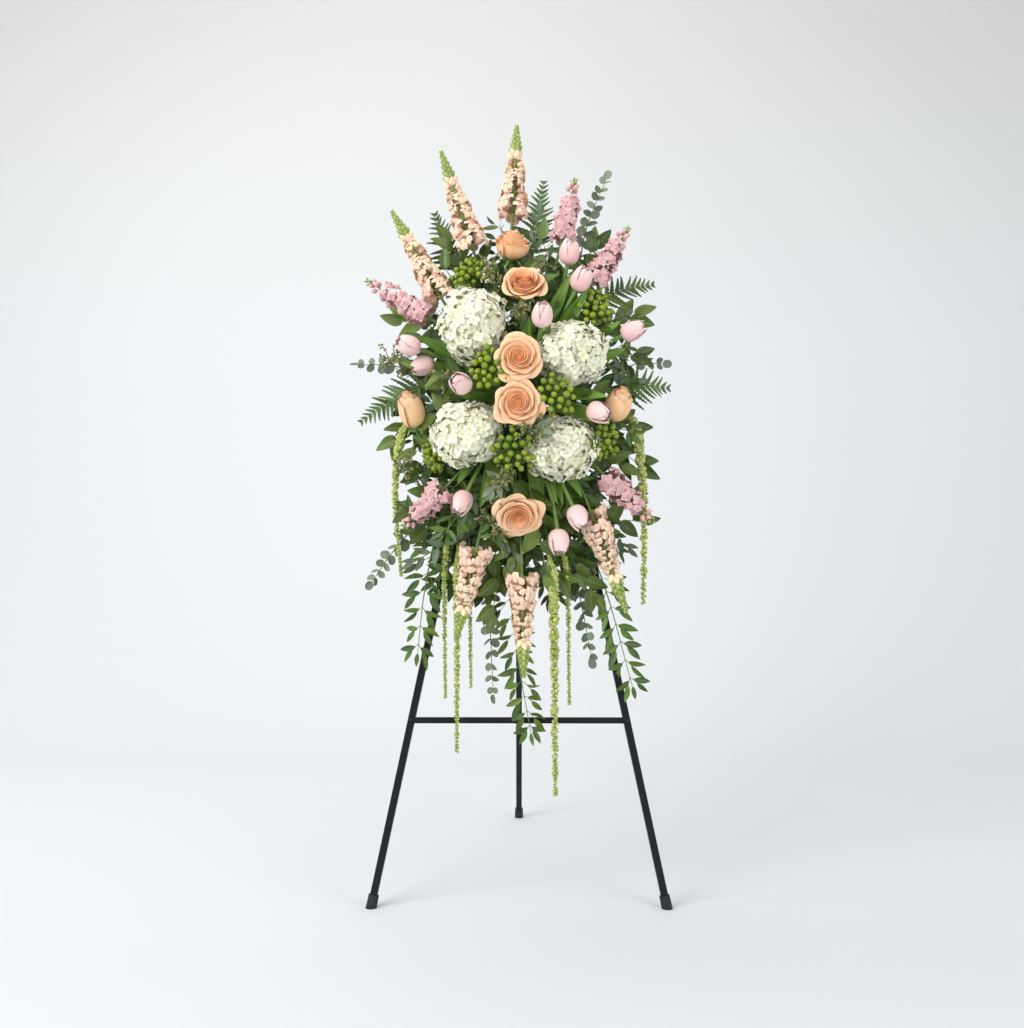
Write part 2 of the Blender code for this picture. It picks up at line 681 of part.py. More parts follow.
def make_holder(collection, stand):
    """A shallow tray on the front legs, held by two cable ties; gives the foam block to be pierced later."""
    wide, tall = FOAM_HALF[0] + GAP + TRAY_WALL, FOAM_HALF[1] + GAP + TRAY_WALL
    back, rim = TRAY_BACK, TRAY_BACK + TRAY_RIM
    pieces = [block((-wide, HOLDER_ALONG - tall, back), (wide, HOLDER_ALONG + tall, rim), 6, 2)]
    for offset, reach in ARMS:
        for side in (-1, 1):
            near, far = sorted((side * (wide - 1), side * reach))
            pieces.append(block((near, HOLDER_ALONG + offset - ARM_HEIGHT, back),
                                (far, HOLDER_ALONG + offset + ARM_HEIGHT, back + ARM_THICK)))
    tray = taken(fused("holder_tray", [s.placed(PLANE) for s in pieces], "holder_plastic", collection))
    cutters = [block((-wide + TRAY_WALL, HOLDER_ALONG - tall + TRAY_WALL, back + TRAY_WALL),
                     (wide - TRAY_WALL, HOLDER_ALONG + tall - TRAY_WALL, rim + 20), 5, 2).placed(PLANE)]
    ties = []
    for side, word in ((-1, "left"), (1, "right")):
        foot, along = leg_axis(side)
        reach = (HOLDER_ALONG + ARMS[0][0]) / (PLANE.inverted() @ along).y
        frame = aim(foot + along * reach, along, side=along.cross(FRONT))
        inner, deep = TUBE / 2 + GAP, TUBE / 2 + ARM_THICK + 2 * GAP
        outwards = (frame.to_3x3() @ Vector((0, 1, 0))).dot(FRONT)
        ys = (-inner, deep) if outwards > 0 else (-deep, inner)
        ring = block((-inner - TIE_BAND, ys[0] - TIE_BAND, -TIE_HALF),
                     (inner + TIE_BAND, ys[1] + TIE_BAND, TIE_HALF), 1.2, 2).placed(frame)
        window = block((-inner, ys[0], -6), (inner, ys[1], 6)).placed(frame)
        ties.append(("cable_tie_" + word, ring, window))
        for edge in (-1, 1):
            near, far = sorted((edge * (inner - GAP), edge * (inner + TIE_BAND + GAP)))
            slot = block((near, -30, -TIE_HALF - GAP), (far, 30, TIE_HALF + GAP)).placed(frame)
            cutters.append(slot)
    made = [cut("holder_tray", tray, cutters, "holder_plastic", collection)]
    made += [cut(name, ring, [window], "tie_plastic", collection) for name, ring, window in ties]
    foam = block((-FOAM_HALF[0], HOLDER_ALONG - FOAM_HALF[1], back + TRAY_WALL + GAP),
                 (FOAM_HALF[0], HOLDER_ALONG + FOAM_HALF[1], FOAM_FRONT), FOAM_CHAMFER).placed(PLANE)
    for obj in made:
        stand.add(obj.name, solid_of(obj))
    stand.add("foam_block", foam)
    return foam


# Flowers, each standing on the origin and facing +Z unless it says otherwise

def rose(radius, height, openness, free, frame):
    """Three whorls of lobed petals round a closed heart, with separate petals folded back round them."""
    profile = (0.0, (0.3, 0.08), (0.58, 0.36), (0.57, 0.84), (0.43, 0.66), (0.37, 0.95), (0.23, 0.76),
               (0.18, 1.0), 0.84)
    solid = Solid()
    rings = []
    for index, (r, z) in enumerate(profile[1:-1]):
        points = []
        sides = 10 if index < 5 else 6
        for k in range(sides):
            crest = index in (2, 4, 6)
            lobe = 0.07 * (1 if k % 2 else -1) if crest else 0.0
            angle = (k / sides + 0.035 * index) * math.tau
            reach = radius * r * (1 - lobe)
            points.append(frame @ Vector((reach * math.cos(angle), reach * math.sin(angle),
                                          height * (z + (lobe if crest else 0)))))
        rings.append(solid.ring(points))
    for index, (low, high) in enumerate(zip(rings, rings[1:])):
        if index > 1:
            solid.bridge(low, high)
            continue
        for k, cell in enumerate(solid.cells(low, high)):
            outer = index == 0 and k % 2 == 0
            second = index == 1 and k % 2 == 1
            if not (outer or second):
                solid.close(cell)
                continue
            middle = ((k + 0.5) / 10 + 0.035 * (index + 0.5)) * math.tau
            if outer:
                rows = ((0.8 + 0.06 * openness, 0.3, 0.56),
                        (0.84 + 0.16 * openness, 0.62 + 0.08 * (1 - openness), 0.42))
            else:
                rows = ((0.72, 0.82, 0.4), (0.72 + 0.1 * openness, 1.0, 0.34))
            petal = []
            for row, (r, z, half) in enumerate(rows):
                petal.append([])
                for s in ((-1, 0, 1) if outer else (-1, 1)):
                    angle = middle + s * half
                    reach = radius * (r - 0.05 * abs(s) * row)
                    lift = height * (z - 0.07 * abs(s) * (row + 1))
                    turned = Vector((math.cos(angle), math.sin(angle), 0))
                    point = turned * reach + Vector((0, 0, lift))
                    petal[-1].append((frame @ point, frame @ (point - turned * 1.5 + Vector((0, 0, 0.9)))))
            solid.blade(cell, petal, None, free)
    solid.fan(rings[-1], frame @ Vector((0, 0, height * profile[-1])))
    solid.fan(rings[0][::-1], frame @ Vector((0, 0, 0)))
    return solid


def tulip(frame):
    """Six petals closed to a cup, their tips parting at the top."""
    radius, height = TULIP_SIZE
    rings = ((0.66, 0.07), (1.0, 0.45), (0.58, 0.95))
    solid = lathe([0, *[(radius * r, height * z) for r, z in rings], height * 0.7], 12,
                  lambda ring, k: (1 + (0.03 if k % 2 else -0.03) * ring,
                                   height * (0.0, 0.03, 0.1)[ring] * (1 if k % 2 else -1)))
    return solid.placed(frame)


def hydrangea(radius, frame, rng, free):
    """A domed core with a four-lobed floret grown from every face of its front and sides."""
    bands = ((5, 19), (10, 50), (10, 81), (10, 112), (6, 146))
    solid = Solid()
    core = radius * HYDRANGEA_CORE

    def point(polar, around, reach):
        flat = math.sin(polar) * reach
        return frame @ Vector((flat * math.cos(around), flat * math.sin(around), math.cos(polar) * reach))

    rings = []
    for index, (count, polar) in enumerate(bands):
        step = math.tau / count
        rings.append(solid.ring(point(math.radians(polar + rng.uniform(-3, 3)),
                                      -(k + 0.5 * (index % 2) + rng.uniform(-0.1, 0.1)) * step, core)
                                for k in range(count)))
    centre = frame.translation

    def raise_floret(cell):
        base = sum((solid.verts[i] for i in cell), Vector()) / len(cell)
        out = (base - centre).normalized()
        reach = radius * rng.uniform(0.9, 0.98)
        size = radius * rng.uniform(0.28, 0.31)
        way = out + Vector([rng.uniform(-0.18, 0.18) for _ in range(3)])
        towards = solid.verts[cell[0]] - base
        rim = star(centre + out * reach, way, towards, size, 4, 0.6, rng.uniform(-0.3, 0.3))
        solid.grow(cell, [rim], centre + out * (reach - 0.12 * size), free)

    raise_floret(rings[0][::-1])
    first, second = rings[0], rings[1]
    for k in range(5):
        a, b = first[k], first[(k + 1) % 5]
        c, d, e = second[2 * k], second[(2 * k + 1) % 10], second[(2 * k + 2) % 10]
        raise_floret([a, b, e, d, c])
    for side, (low, high) in enumerate(zip(rings[1:3], rings[2:4])):
        for k, cell in enumerate(solid.cells(low, high)):
            if side and k % 2:
                solid.close(cell)
            else:
                raise_floret(cell)
    solid.bridge(rings[3], rings[4])
    solid.close(rings[4])
    return solid


def spike(base, tip, kind, rng, free):
    """A flower spike: open florets in pairs up the stem, then buds to the tip."""
    base, tip = Vector(base), Vector(tip)
    length = (tip - base).length
    along = (tip - base).normalized()
    florets, buds = (6, 2) if kind == "snapdragon" else (5, 2)
    reach, size, lobes, share = (25, 15.5, 3, 0.6) if kind == "snapdragon" else (23, 20, 4, 0.68)
    stations = [share * k / florets for k in range(florets + 1)]
    stations += [share + (0.97 - share) * (k + 1) / buds for k in range(buds)]
    sag = Vector((0, -0.03, 0)) * length
    line = [base + (tip - base) * t + sag * math.sin(math.pi * t) for t in stations]
    radii = [3.6 - 2.4 * t for t in stations]
    solid = Solid()
    rings = [solid.ring(points) for points in rings_along(line, radii, 4, 0.4)]
    for index, (low, high) in enumerate(zip(rings, rings[1:])):
        for k, cell in enumerate(solid.cells(low, high)):
            if (k + index) % 2:
                solid.close(cell)
                continue
            corners = [solid.verts[i] for i in cell]
            middle = sum(corners, Vector()) / 4
            out = (corners[1] - corners[0]).cross(corners[3] - corners[0]).normalized()
            if index < florets:
                taper = 1 - 0.42 * index / florets
                way = (out + along * 0.3).normalized()
                centre = middle + way * reach * taper
                towards = corners[0] - middle
                if kind == "snapdragon":
                    rim = star(centre, way, towards, size * taper, lobes, 0.72)
                    solid.grow(cell, [rim], centre + way * size * 0.5 * taper, free)
                else:
                    rim = star(centre, way, towards, size * taper, lobes, 0.66, rng.uniform(-0.3, 0.3))
                    solid.grow(cell, [rim], centre + way * size * 0.1, free)
            else:
                taper = 1 - 0.6 * (index - florets) / buds
                way = (out + along * 1.1).normalized()
                belly = star(middle + way * 8 * taper, way, corners[0] - middle, 5.2 * taper, 2, 1.0)
                solid.grow(cell, [belly], middle + way * 17 * taper, free)
    solid.close(rings[0][::-1])
    solid.fan(rings[-1], line[-1] + along * length * 0.03)
    return solid


def berries(centre, facing, radius, rng, free):
    """Berries on stalks that spread from one hub, as a flat-topped bunch."""
    facing = Vector(facing).normalized()
    hub = Vector(centre) - facing * BERRY_HUB
    berry_radius, berry_tip = BERRY_SIZE
    bm = bmesh.new()
    bmesh.ops.create_icosphere(bm, subdivisions=1, radius=5.0)
    turn = aim(hub, facing, turn=rng.uniform(0, math.tau))
    bm.verts.index_update()
    solid = Solid([turn @ v.co for v in bm.verts])
    cells = [[v.index for v in f.verts] for f in bm.faces]
    bm.free()
    spots = []
    for cell in cells:
        out = sum((solid.verts[i] for i in cell), Vector()) / 3 - hub
        spots.append((out.normalized().dot(facing), cell, out.normalized()))
    spots.sort(key=lambda spot: -spot[0])
    for index, (front, cell, out) in enumerate(spots):
        if index >= BERRIES:
            solid.close(cell)
            continue
        spread = out - out.dot(facing) * facing
        end = Vector(centre) + spread * radius * rng.uniform(0.95, 1.15) - facing * rng.uniform(0, 9)
        way = (end - hub).normalized()
        base = sum((solid.verts[i] for i in cell), Vector()) / 3
        towards = solid.verts[cell[0]] - base
        x = (towards - towards.dot(way) * way).normalized()
        y = way.cross(x)
        stalk = [end - way * 3.5 + 1.3 * (x * math.cos(a) + y * math.sin(a)) for a in (0, 2.094, 4.189)]
        girth = [end + way * 1.5 + berry_radius * (x * math.cos(a) + y * math.sin(a))
                 for a in (k * math.tau / 5 for k in range(5))]
        solid.grow(cell, [stalk, girth], end + way * berry_tip, free)
    return solid


def uncrossed(make, free):
    """The head with the fewest petals that cut each other, out of a few tries."""
    best = None
    for _ in range(HEAD_TRIES):
        head = make(free)
        count = head.crossings()
        if best is None or count < best[0]:
            best = (count, head)
        if count == 0:
            break
    if best[0]:
        print("a head still has", best[0], "crossings")
    return best[1]


def plan_heads(stand, rng):
    """Every flower head: name, material, where each stem ends and its direction there, radius, solids."""
    plans = []
    for name, centre, facing, radius, height, openness in ROSES:
        facing = Vector(facing).normalized()
        frame = aim(Vector(centre) - facing * height * 0.5, facing, turn=rng.uniform(0, math.tau))
        ends = [(frame.translation + facing * BLOOM_BASE, facing)]
        core = lathe([0, (radius * 0.6, height * 0.3), (radius * 0.6, height * 0.85), height], 8)
        plans.append((name, "rose_petal", ends, STEM_RADII["rose"], [core.placed(frame)],
                      [lambda free, r=radius, h=height, o=openness, f=frame: rose(r, h, o, free, f)]))
    for name, *blooms in TULIPS:
        cores, ends = [], []
        for centre, facing in blooms:
            facing = Vector(facing).normalized()
            frame = aim(Vector(centre) - facing * TULIP_SIZE[1] / 2, facing, turn=rng.uniform(0, math.tau))
            cores.append(tulip(frame))
            ends.append((frame.translation + facing * BLOOM_BASE, facing))
        plans.append((name, "tulip_petal", ends, STEM_RADII["tulip"], cores,
                      [lambda free, c=c: c for c in cores]))
    for name, centre, facing, radius in HYDRANGEAS:
        facing = Vector(facing).normalized()
        frame = aim(centre, facing)
        wide = radius * HYDRANGEA_CORE
        ends = [(Vector(centre) - facing * radius * 0.5, facing)]
        waist = radius * 0.6
        core = lathe([-wide, (waist, -radius * 0.5), (wide, 0), (waist, radius * 0.5), wide], 10)
        plans.append((name, "hydrangea_petal", ends, STEM_RADII["hydrangea"], [core.placed(frame)],
                      [lambda free, r=radius, f=frame: hydrangea(r, f, rng, free)]))
    for rows, kind in ((SNAPDRAGONS, "snapdragon"), (STOCKS, "stock")):
        for name, *spikes in rows:
            spikes = [(Vector(base), Vector(tip)) for base, tip in spikes]
            plans.append((name, kind + "_petal", [(b + (t - b) * 0.04, t - b) for b, t in spikes],
                          STEM_RADII["spike"],
                          [tube([b, t], SPIKE_CORE) for b, t in spikes],
                          [lambda free, b=b, t=t, k=kind: spike(b, t, k, rng, free) for b, t in spikes]))
    for name, *clusters in HYPERICUM:
        cores, makers, ends = [], [], []
        for centre, facing, radius in clusters:
            facing = Vector(facing).normalized()
            hub = Vector(centre) - facing * BERRY_HUB
            ends.append((hub + facing * 1.5, facing))
            cores.append(tube([hub - facing * 8, Vector(centre) - facing * 6], [3, 10], 6))
            makers.append(lambda free, c=centre, f=facing, r=radius: berries(c, f, r, rng, free))
        plans.append((name, "hypericum_berry", ends, STEM_RADII["hypericum"], cores, makers))
    for name, _, _, _, cores, _ in plans:
        for core in cores:
            hit = stand.hit(core, own=(name,))
            if hit:
                print("core of", name, "crosses", hit)
        for core in cores:
            stand.add(name, core)
    heads = []
    for name, material, ends, radius, _, makers in plans:
        solids = [uncrossed(make, lambda trial: stand.hit(trial, own=(name,)) is None) for make in makers]
        stand.drop(name)
        for solid in solids:
            stand.add(name, solid)
        heads.append((name, material, solids, ends, radius))
    return heads


# Tassels and greenery

def tassel(points, radius, rng):
    """The line and radii of a hanging tassel: a bare stalk, then a lumpy string that thins to its tip."""
    length = sum((Vector(b) - Vector(a)).length for a, b in zip(points, points[1:]))
    count = max(round(length / TASSEL_STEP), 6)
    line, radii = smooth_line(points, count), []
    for k in range(count):
        t = k / (count - 1)
        body = radius * min(1.0, 0.3 + 3.0 * max(0.0, t - 0.12)) * (1 - 0.7 * max(0.0, t - 0.25) / 0.75)
        radii.append(max(body * rng.uniform(0.85, 1.12), 1.6))
    return line, radii


def leaf_rows(root, way, face, forward, kind, length, width):
    """Rows and apex of a leaf raised from its twig; `forward` is across the blade, towards the twig's tip."""
    if kind == "pinna":
        return [], root + way * length
    across = (forward - forward.dot(way) * way).normalized()
    normal = across.cross(way)
    if normal.dot(face) < 0:
        normal = -normal
    half = normal * LEAF_THICK / 2
    if forward.cross(way).dot(normal) < 0:
        half = -half
    rows = []
    for place, share, fold in LEAF_SHAPES[kind]:
        middle = root + way * length * place
        points = [middle - across * width / 2 * share, middle + across * width / 2 * share]
        if fold is not None:
            points.insert(1, middle - normal * width * fold)
        rows.append([(point + half, point - half) for point in points])
    return rows, root + way * length - normal * length * 0.06


def sprig(path, bare, face, kind, opposite, length, width, angle, rng, free):
    """A twig of four-sided section along a path, with leaves on its two sides beyond the bare stations."""
    face = Vector(face).normalized()
    solid, rings, blades = Solid(), [], []
    last = len(path) - 1

    def clear(trial):
        """Whether a leaf clears its neighbours and the spray's other leaves beyond its root."""
        blade = BVHTree.FromPolygons(trial.verts, [f for f in trial.faces if min(f) > 3])
        if any(blade.overlap(other) for other in blades) or not free(trial):
            return False
        blades.append(blade)
        return True

    for k, place in enumerate(path):
        along = (path[min(k + 1, last)] - path[max(k - 1, 0)]).normalized()
        up = (face - face.dot(along) * along).normalized()
        side = up.cross(along)
        half = TWIG_HALF * (1 - 0.45 * k / last)
        corners = ((1, -1), (1, 1), (-1, 1), (-1, -1))
        rings.append(solid.ring(place + half * (side * a + up * b) for a, b in corners))
    for k, (low, high) in enumerate(zip(rings, rings[1:])):
        cells = solid.cells(low, high)
        along = (path[k + 1] - path[k]).normalized()
        up = (face - face.dot(along) * along).normalized()
        rise = (k - bare) / max(last - bare, 1)
        for index, cell in enumerate(cells):
            right = index == 2
            leafy = index in (0, 2) and k >= bare and (
                (k - bare) % 2 == 0 if opposite == "spaced" else opposite == "all" or (k % 2 == 0) == right)
            if not leafy:
                solid.close(cell)
                continue
            side = up.cross(along) * (-1 if right else 1)
            turn = math.radians(angle * rng.uniform(0.85, 1.15))
            way = (side * math.sin(turn) + along * math.cos(turn) + up * rng.uniform(-0.1, 0.35)).normalized()
            size = 1 - 0.55 * rise if kind != "pinna" else min(1.0, 0.6 + 1.6 * rise) * (1 - rise ** 2 * 0.85)
            root = sum((solid.verts[i] for i in cell), Vector()) / 4
            rows, apex = leaf_rows(root, way, up, along, kind, length * size, width * size)
            solid.blade(cell[1:] + cell[:1], rows, apex, clear)
    solid.close(rings[0][::-1])
    solid.fan(rings[-1], path[-1] + (path[-1] - path[-2]).normalized() * length * 0.3)
    return solid


# Stems

def spread_entries(targets):
    """Where each stem enters the foam and its direction there: on the line from the foam's middle to its
    flower, then pushed along the face until the holes are clear of each other."""
    centre = Vector((0, HOLDER_ALONG, STEM_ORIGIN_OUT))
    low = Vector((-FOAM_HALF[0], HOLDER_ALONG - FOAM_HALF[1], TRAY_BACK + TRAY_RIM + 2))
    high = Vector((FOAM_HALF[0], HOLDER_ALONG + FOAM_HALF[1], FOAM_FRONT))
    margin = Vector((FOAM_CHAMFER + 4, FOAM_CHAMFER + 4, FOAM_CHAMFER))

    def held_in(place, face):
        for i in range(3):
            if i != face:
                place[i] = min(max(place[i], low[i] + (margin[i] if i < 2 else 5)), high[i] - margin[i])
        return place

    places, faces = [], []
    for target in targets:
        way = PLANE.inverted() @ Vector(target) - centre
        limits = [((high[i] if way[i] > 0 else low[i]) - centre[i]) / way[i]
                  if abs(way[i]) > 1e-6 and (i < 2 or way[i] > 0) else 1e9 for i in range(3)]
        limits[1] *= 0.75
        face = limits.index(min(limits))
        place = centre + way * limits[face]
        place[face] = high[face] if way[face] > 0 else low[face]
        faces.append(face)
        places.append(held_in(place, face))
    for _ in range(200):
        for i, a in enumerate(places):
            for j in range(i):
                apart = a - places[j]
                if apart.length < HOLE_SPACING:
                    push = (apart + Vector((0.2, 0.5, 0.1))).normalized() * (HOLE_SPACING - apart.length) / 2
                    for index, way in ((i, push), (j, -push)):
                        moved = places[index] + way
                        moved[faces[index]] = places[index][faces[index]]
                        places[index][:] = held_in(moved, faces[index])
    entries = []
    for place, face in zip(places, faces):
        normal = Vector()
        normal[face] = 1 if place[face] > centre[face] else -1
        way = ((place - centre).normalized() + normal * 1.2).normalized()
        entries.append((PLANE @ place, PLANE.to_3x3() @ way))
    return entries


def stem_line(entry, end, end_way, nudge, steps, forked):
    """A stem's line: from the bottom of its hole, or inside another stem, in one bend to its end."""
    place, way = entry
    reach = (end - place).length * 0.4
    a, b, c, d = place + way * 6, place + way * reach + nudge[0], end - end_way * reach * 0.8 + nudge[1], end
    line = [place if forked else place - way * (HOLE_DEPTH - 1)]
    for k in range(forked, steps + 1):
        t = k / steps
        line.append(a * (1 - t) ** 3 + 3 * b * t * (1 - t) ** 2 + 3 * c * t * t * (1 - t) + d * t ** 3)
    return line


def fork_of(line, end):
    """Where a second stem leaves the first one on its way to its own end, and its direction there."""
    place = (line[1] + line[2]) / 2
    return place, (end - place).normalized()


def route(name, stand, entry, end, end_way, radius, rng, first=None, beyond=()):
    """The first line to the end, and on through `beyond`, that clears what is placed.
    Its bends grow wider with each try. `first` is the line of a stem that it branches from.
    Also gives what the last line still crosses."""
    end, end_way, own = Vector(end), Vector(end_way).normalized(), (name,)
    if first:
        entry = fork_of(first, end)
    steps = 3 if (end - entry[0]).length > LONG_STEM else 2
    for attempt in range(TRIES):
        loose = attempt * 1.0
        nudge = [Vector([rng.uniform(-loose, loose) for _ in range(3)]) for _ in range(2)]
        line = stem_line(entry, end, end_way, nudge, steps, bool(first))
        whole = [*line, *beyond]
        outside = whole if first else whole[1:]
        hit = (stand.hit(tube(whole, [radius] * len(whole), STEM_SIDES), own=("foam_block", *own))
               or stand.hit(tube(outside, [radius] * len(outside), STEM_SIDES), own=own))
        if hit is None:
            break
    return line, hit


def report(name, hit):
    if hit:
        print(name, "crosses", hit)


def hole(entry, radius):
    """What is taken out of the foam for a stem."""
    place, way = entry
    return rod((radius + GAP) / math.cos(math.pi / 4) + 0.2, -HOLE_DEPTH, 16, 4).placed(aim(place, way))


def centre_over_origin(collection):
    """Places every piece so that the middle of the spray's box is over the origin. The rear leg and its foot
    hang from an empty on their hinge."""
    objects = list(collection.objects)
    points = [v.co for obj in objects for v in obj.data.vertices]
    low, high = [[pick(p[i] for p in points) for i in range(3)] for pick in (min, max)]
    shift = Vector((-(low[0] + high[0]) / 2, -(low[1] + high[1]) / 2, -low[2]))
    hinge = hinge_place() * MM
    pivot = bpy.data.objects.new("rear_leg_hinge", None)
    pivot.location = hinge + shift
    collection.objects.link(pivot)
    for obj in objects:
        if obj.name in ("easel_leg_rear", "foot_rear"):
            obj.data.transform(Matrix.Translation(-hinge))
            obj.parent = pivot
        else:
            obj.location = shift
    print("moved by", [round(v / MM, 2) for v in shift], "mm")


def main():
    clear_scene()
    make_materials()
    rng = random.Random(SEED)
    stand = Stand()
    parts = bpy.data.collections.new("standing_funeral_spray")
    bpy.context.scene.collection.children.link(parts)
    make_easel(parts, stand)
    foam = make_holder(parts, stand)
    heads = plan_heads(stand, rng)
    targets = [ends[0][0] for _, _, _, ends, _ in heads]
    targets += [strands[0][0][0] for _, *strands in AMARANTH]
    targets += [sprays[0][0] for _, _, _, *sprays in GREENS]
    entries = spread_entries(targets)
    holes = []

    for (name, material, solids, ends, radius), entry in zip(heads, entries):
        holes.append(hole(entry, radius))
        stems, first = [], None
        for end, way in ends:
            line, hit = route(name, stand, entry, end, way, radius, rng, first)
            report(name, hit)
            first = first or line
            stems.append(tube(line, [radius] * len(line), STEM_SIDES))
            stand.add(name, stems[-1])
        fused(name, stems + solids, material, parts)

    for (name, *strands), entry in zip(AMARANTH, entries[len(heads):]):
        thin = STEM_RADII["amaranth"]
        holes.append(hole(entry, thin + HOLE_EASE))
        solids, first = [], None
        for points, radius in strands:
            line, radii = tassel(points, radius, rng)
            stalk, _ = route(name, stand, entry, line[0], line[1] - line[0], thin, rng, first)
            first = first or stalk
            solid = tube(stalk + line[1:], [thin] * len(stalk) + radii[1:], 3, math.pi / 3)
            report(name, stand.hit(solid, own=("foam_block", name)))
            solids.append(solid)
        for solid in solids:
            stand.add(name, solid)
        fused(name, solids, "amaranth_tassel", parts)

    for (name, kind, face, *sprays), entry in zip(GREENS, entries[len(heads) + len(AMARANTH):]):
        holes.append(hole(entry, SPRAY_STEM))
        shape, opposite, material, length, width, angle, pitch = GREEN_KINDS[kind]
        solids, first = [], None
        for points in sprays:
            reach = sum((Vector(b) - Vector(a)).length for a, b in zip(points, points[1:]))
            for depth in GREEN_DEPTHS:
                line = smooth_line([Vector(p) + Vector((0, depth, 0)) for p in points],
                                   max(round(reach / pitch) + 1, 4))
                if opposite == "spaced":
                    line = [p for a, b in zip(line, line[1:]) for p in (a, a + (b - a) * 0.3)] + [line[-1]]
                stalk, hit = route(name, stand, entry, line[0], line[1] - line[0], SPRAY_STEM, rng, first,
                                   line[1:])
                if hit is None:
                    break
            report(name, hit)
            first = first or stalk
            solids.append(sprig(stalk + line[1:], len(stalk) - 1, face, shape, opposite, length, width, angle,
                                rng, lambda trial: stand.hit(trial, own=(name,)) is None))
        for solid in solids:
            stand.add(name, solid)
        fused(name, solids, material, parts)

    cut("foam_block", foam, holes, "foam", parts, "MANIFOLD")
    centre_over_origin(parts)


main()
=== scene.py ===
import math
import random
import bpy
import numpy as np
from mathutils import Matrix, Vector


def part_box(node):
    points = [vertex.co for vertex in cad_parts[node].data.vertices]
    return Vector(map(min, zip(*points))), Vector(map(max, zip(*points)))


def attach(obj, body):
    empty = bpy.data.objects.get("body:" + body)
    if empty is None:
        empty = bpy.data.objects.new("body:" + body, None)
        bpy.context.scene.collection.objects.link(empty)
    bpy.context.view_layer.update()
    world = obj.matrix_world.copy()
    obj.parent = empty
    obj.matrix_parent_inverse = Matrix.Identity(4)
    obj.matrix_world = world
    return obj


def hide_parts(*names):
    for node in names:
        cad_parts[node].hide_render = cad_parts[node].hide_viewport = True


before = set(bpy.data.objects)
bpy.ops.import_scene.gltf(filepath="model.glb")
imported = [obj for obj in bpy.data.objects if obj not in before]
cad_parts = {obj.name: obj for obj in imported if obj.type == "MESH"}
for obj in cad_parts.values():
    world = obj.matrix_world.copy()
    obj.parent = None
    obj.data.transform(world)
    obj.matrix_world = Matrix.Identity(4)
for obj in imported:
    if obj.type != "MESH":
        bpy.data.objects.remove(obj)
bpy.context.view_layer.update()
rng = random.Random(5)

# Sizes below are in millimetres, in the easel's own frame: x across, y back, z up from the floor.
# The crossbar's box shows where that frame lies among the solids.
easelLook = {"legBack": 210, "legUp": 1485, "barUp": 381, "barForward": 9.3, "foamAlong": 1085,
             "foamForward": 58}
barLow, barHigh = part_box("easel_crossbar")
leanAngle = math.atan2(easelLook["legBack"], easelLook["legUp"])
leanSine, leanCosine = math.sin(leanAngle), math.cos(leanAngle)
barMiddle = Vector((0, leanSine * easelLook["barUp"] / leanCosine - leanCosine * easelLook["barForward"],
                    easelLook["barUp"] + leanSine * easelLook["barForward"]))
shift = (barLow + barHigh) / 2 - barMiddle / 1000
shift.z = 0.0
goldenTurn = 2.39996  # in radians, spreads florets, berries and loose twigs evenly


def aim(point, along, side=(0, 0, 1), turn=0.0):
    # a matrix in millimetres with +Z along the given way
    z = Vector(along).normalized()
    x = Vector(side) - Vector(side).dot(z) * z
    if x.length < 1e-3:
        x = Vector((1, 0, 0)) - z.x * z
    x.normalize()
    spun = Matrix((x, z.cross(x), z)).transposed().to_4x4() @ Matrix.Rotation(turn, 4, "Z")
    return np.array(Matrix.Translation(Vector(point)) @ spun)


def scaled(matrix, size):
    return matrix @ np.diag((size, size, size, 1.0))


def smoothLine(points, count):
    # a soft curve through the points
    points = [np.array(p, float) for p in points]
    ends = [2 * points[0] - points[1]] + points + [2 * points[-1] - points[-2]]
    line = []
    for k in range(count):
        spot = k / (count - 1) * (len(points) - 1)
        i = min(int(spot), len(points) - 2)
        t = spot - i
        a, b, c, d = ends[i:i + 4]
        line.append(0.5 * (2 * b + (c - a) * t + (2 * a - 5 * b + 4 * c - d) * t * t
                           + (3 * b - a - 3 * c + d) * t ** 3))
    return np.array(line)


class Shape:
    # gathers patches in millimetres, with a uv and a tone for each vertex and a material slot for each face
    def __init__(self):
        self.verts = []
        self.faces = []
        self.slots = []
        self.uvs = []
        self.tones = []
        self.count = 0

    def add(self, patch, slot, matrix, tone):
        verts, faces, uv = patch
        if matrix is not None:
            verts = verts @ matrix[:3, :3].T + matrix[:3, 3]
        self.verts.append(verts)
        self.faces.append(faces + self.count)
        self.slots.append(np.full(len(faces), slot))
        self.uvs.append(uv)
        self.tones.append(np.full(len(verts), tone))
        self.count += len(verts)

    def build(self, name, materials, replaces=()):
        verts = np.concatenate(self.verts) / 1000 + np.array(shift)
        mesh = bpy.data.meshes.new(name)
        mesh.from_pydata(verts.tolist(), [], np.concatenate(self.faces).tolist())
        corners = np.zeros(len(mesh.loops), int)
        mesh.loops.foreach_get("vertex_index", corners)
        uvLayer = mesh.uv_layers.new(name="UVMap")
        uvLayer.data.foreach_set("uv", np.concatenate(self.uvs)[corners].ravel().astype(np.float32))
        toneLayer = mesh.attributes.new("tone", "FLOAT", "POINT")
        toneLayer.data.foreach_set("value", np.concatenate(self.tones).astype(np.float32))
        mesh.polygons.foreach_set("material_index", np.concatenate(self.slots).astype(np.int32))
        mesh.polygons.foreach_set("use_smooth", np.ones(len(mesh.polygons), bool))
        for material in materials:
            mesh.materials.append(material)
        mesh.validate()
        obj = bpy.data.objects.new(name, mesh)
        bpy.context.scene.collection.objects.link(obj)
        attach(obj, "stand")
        if replaces:
            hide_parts(*replaces)
        print(name, len(mesh.polygons), "faces")


# Patches: each gives vertices, faces and uvs in its own small frame

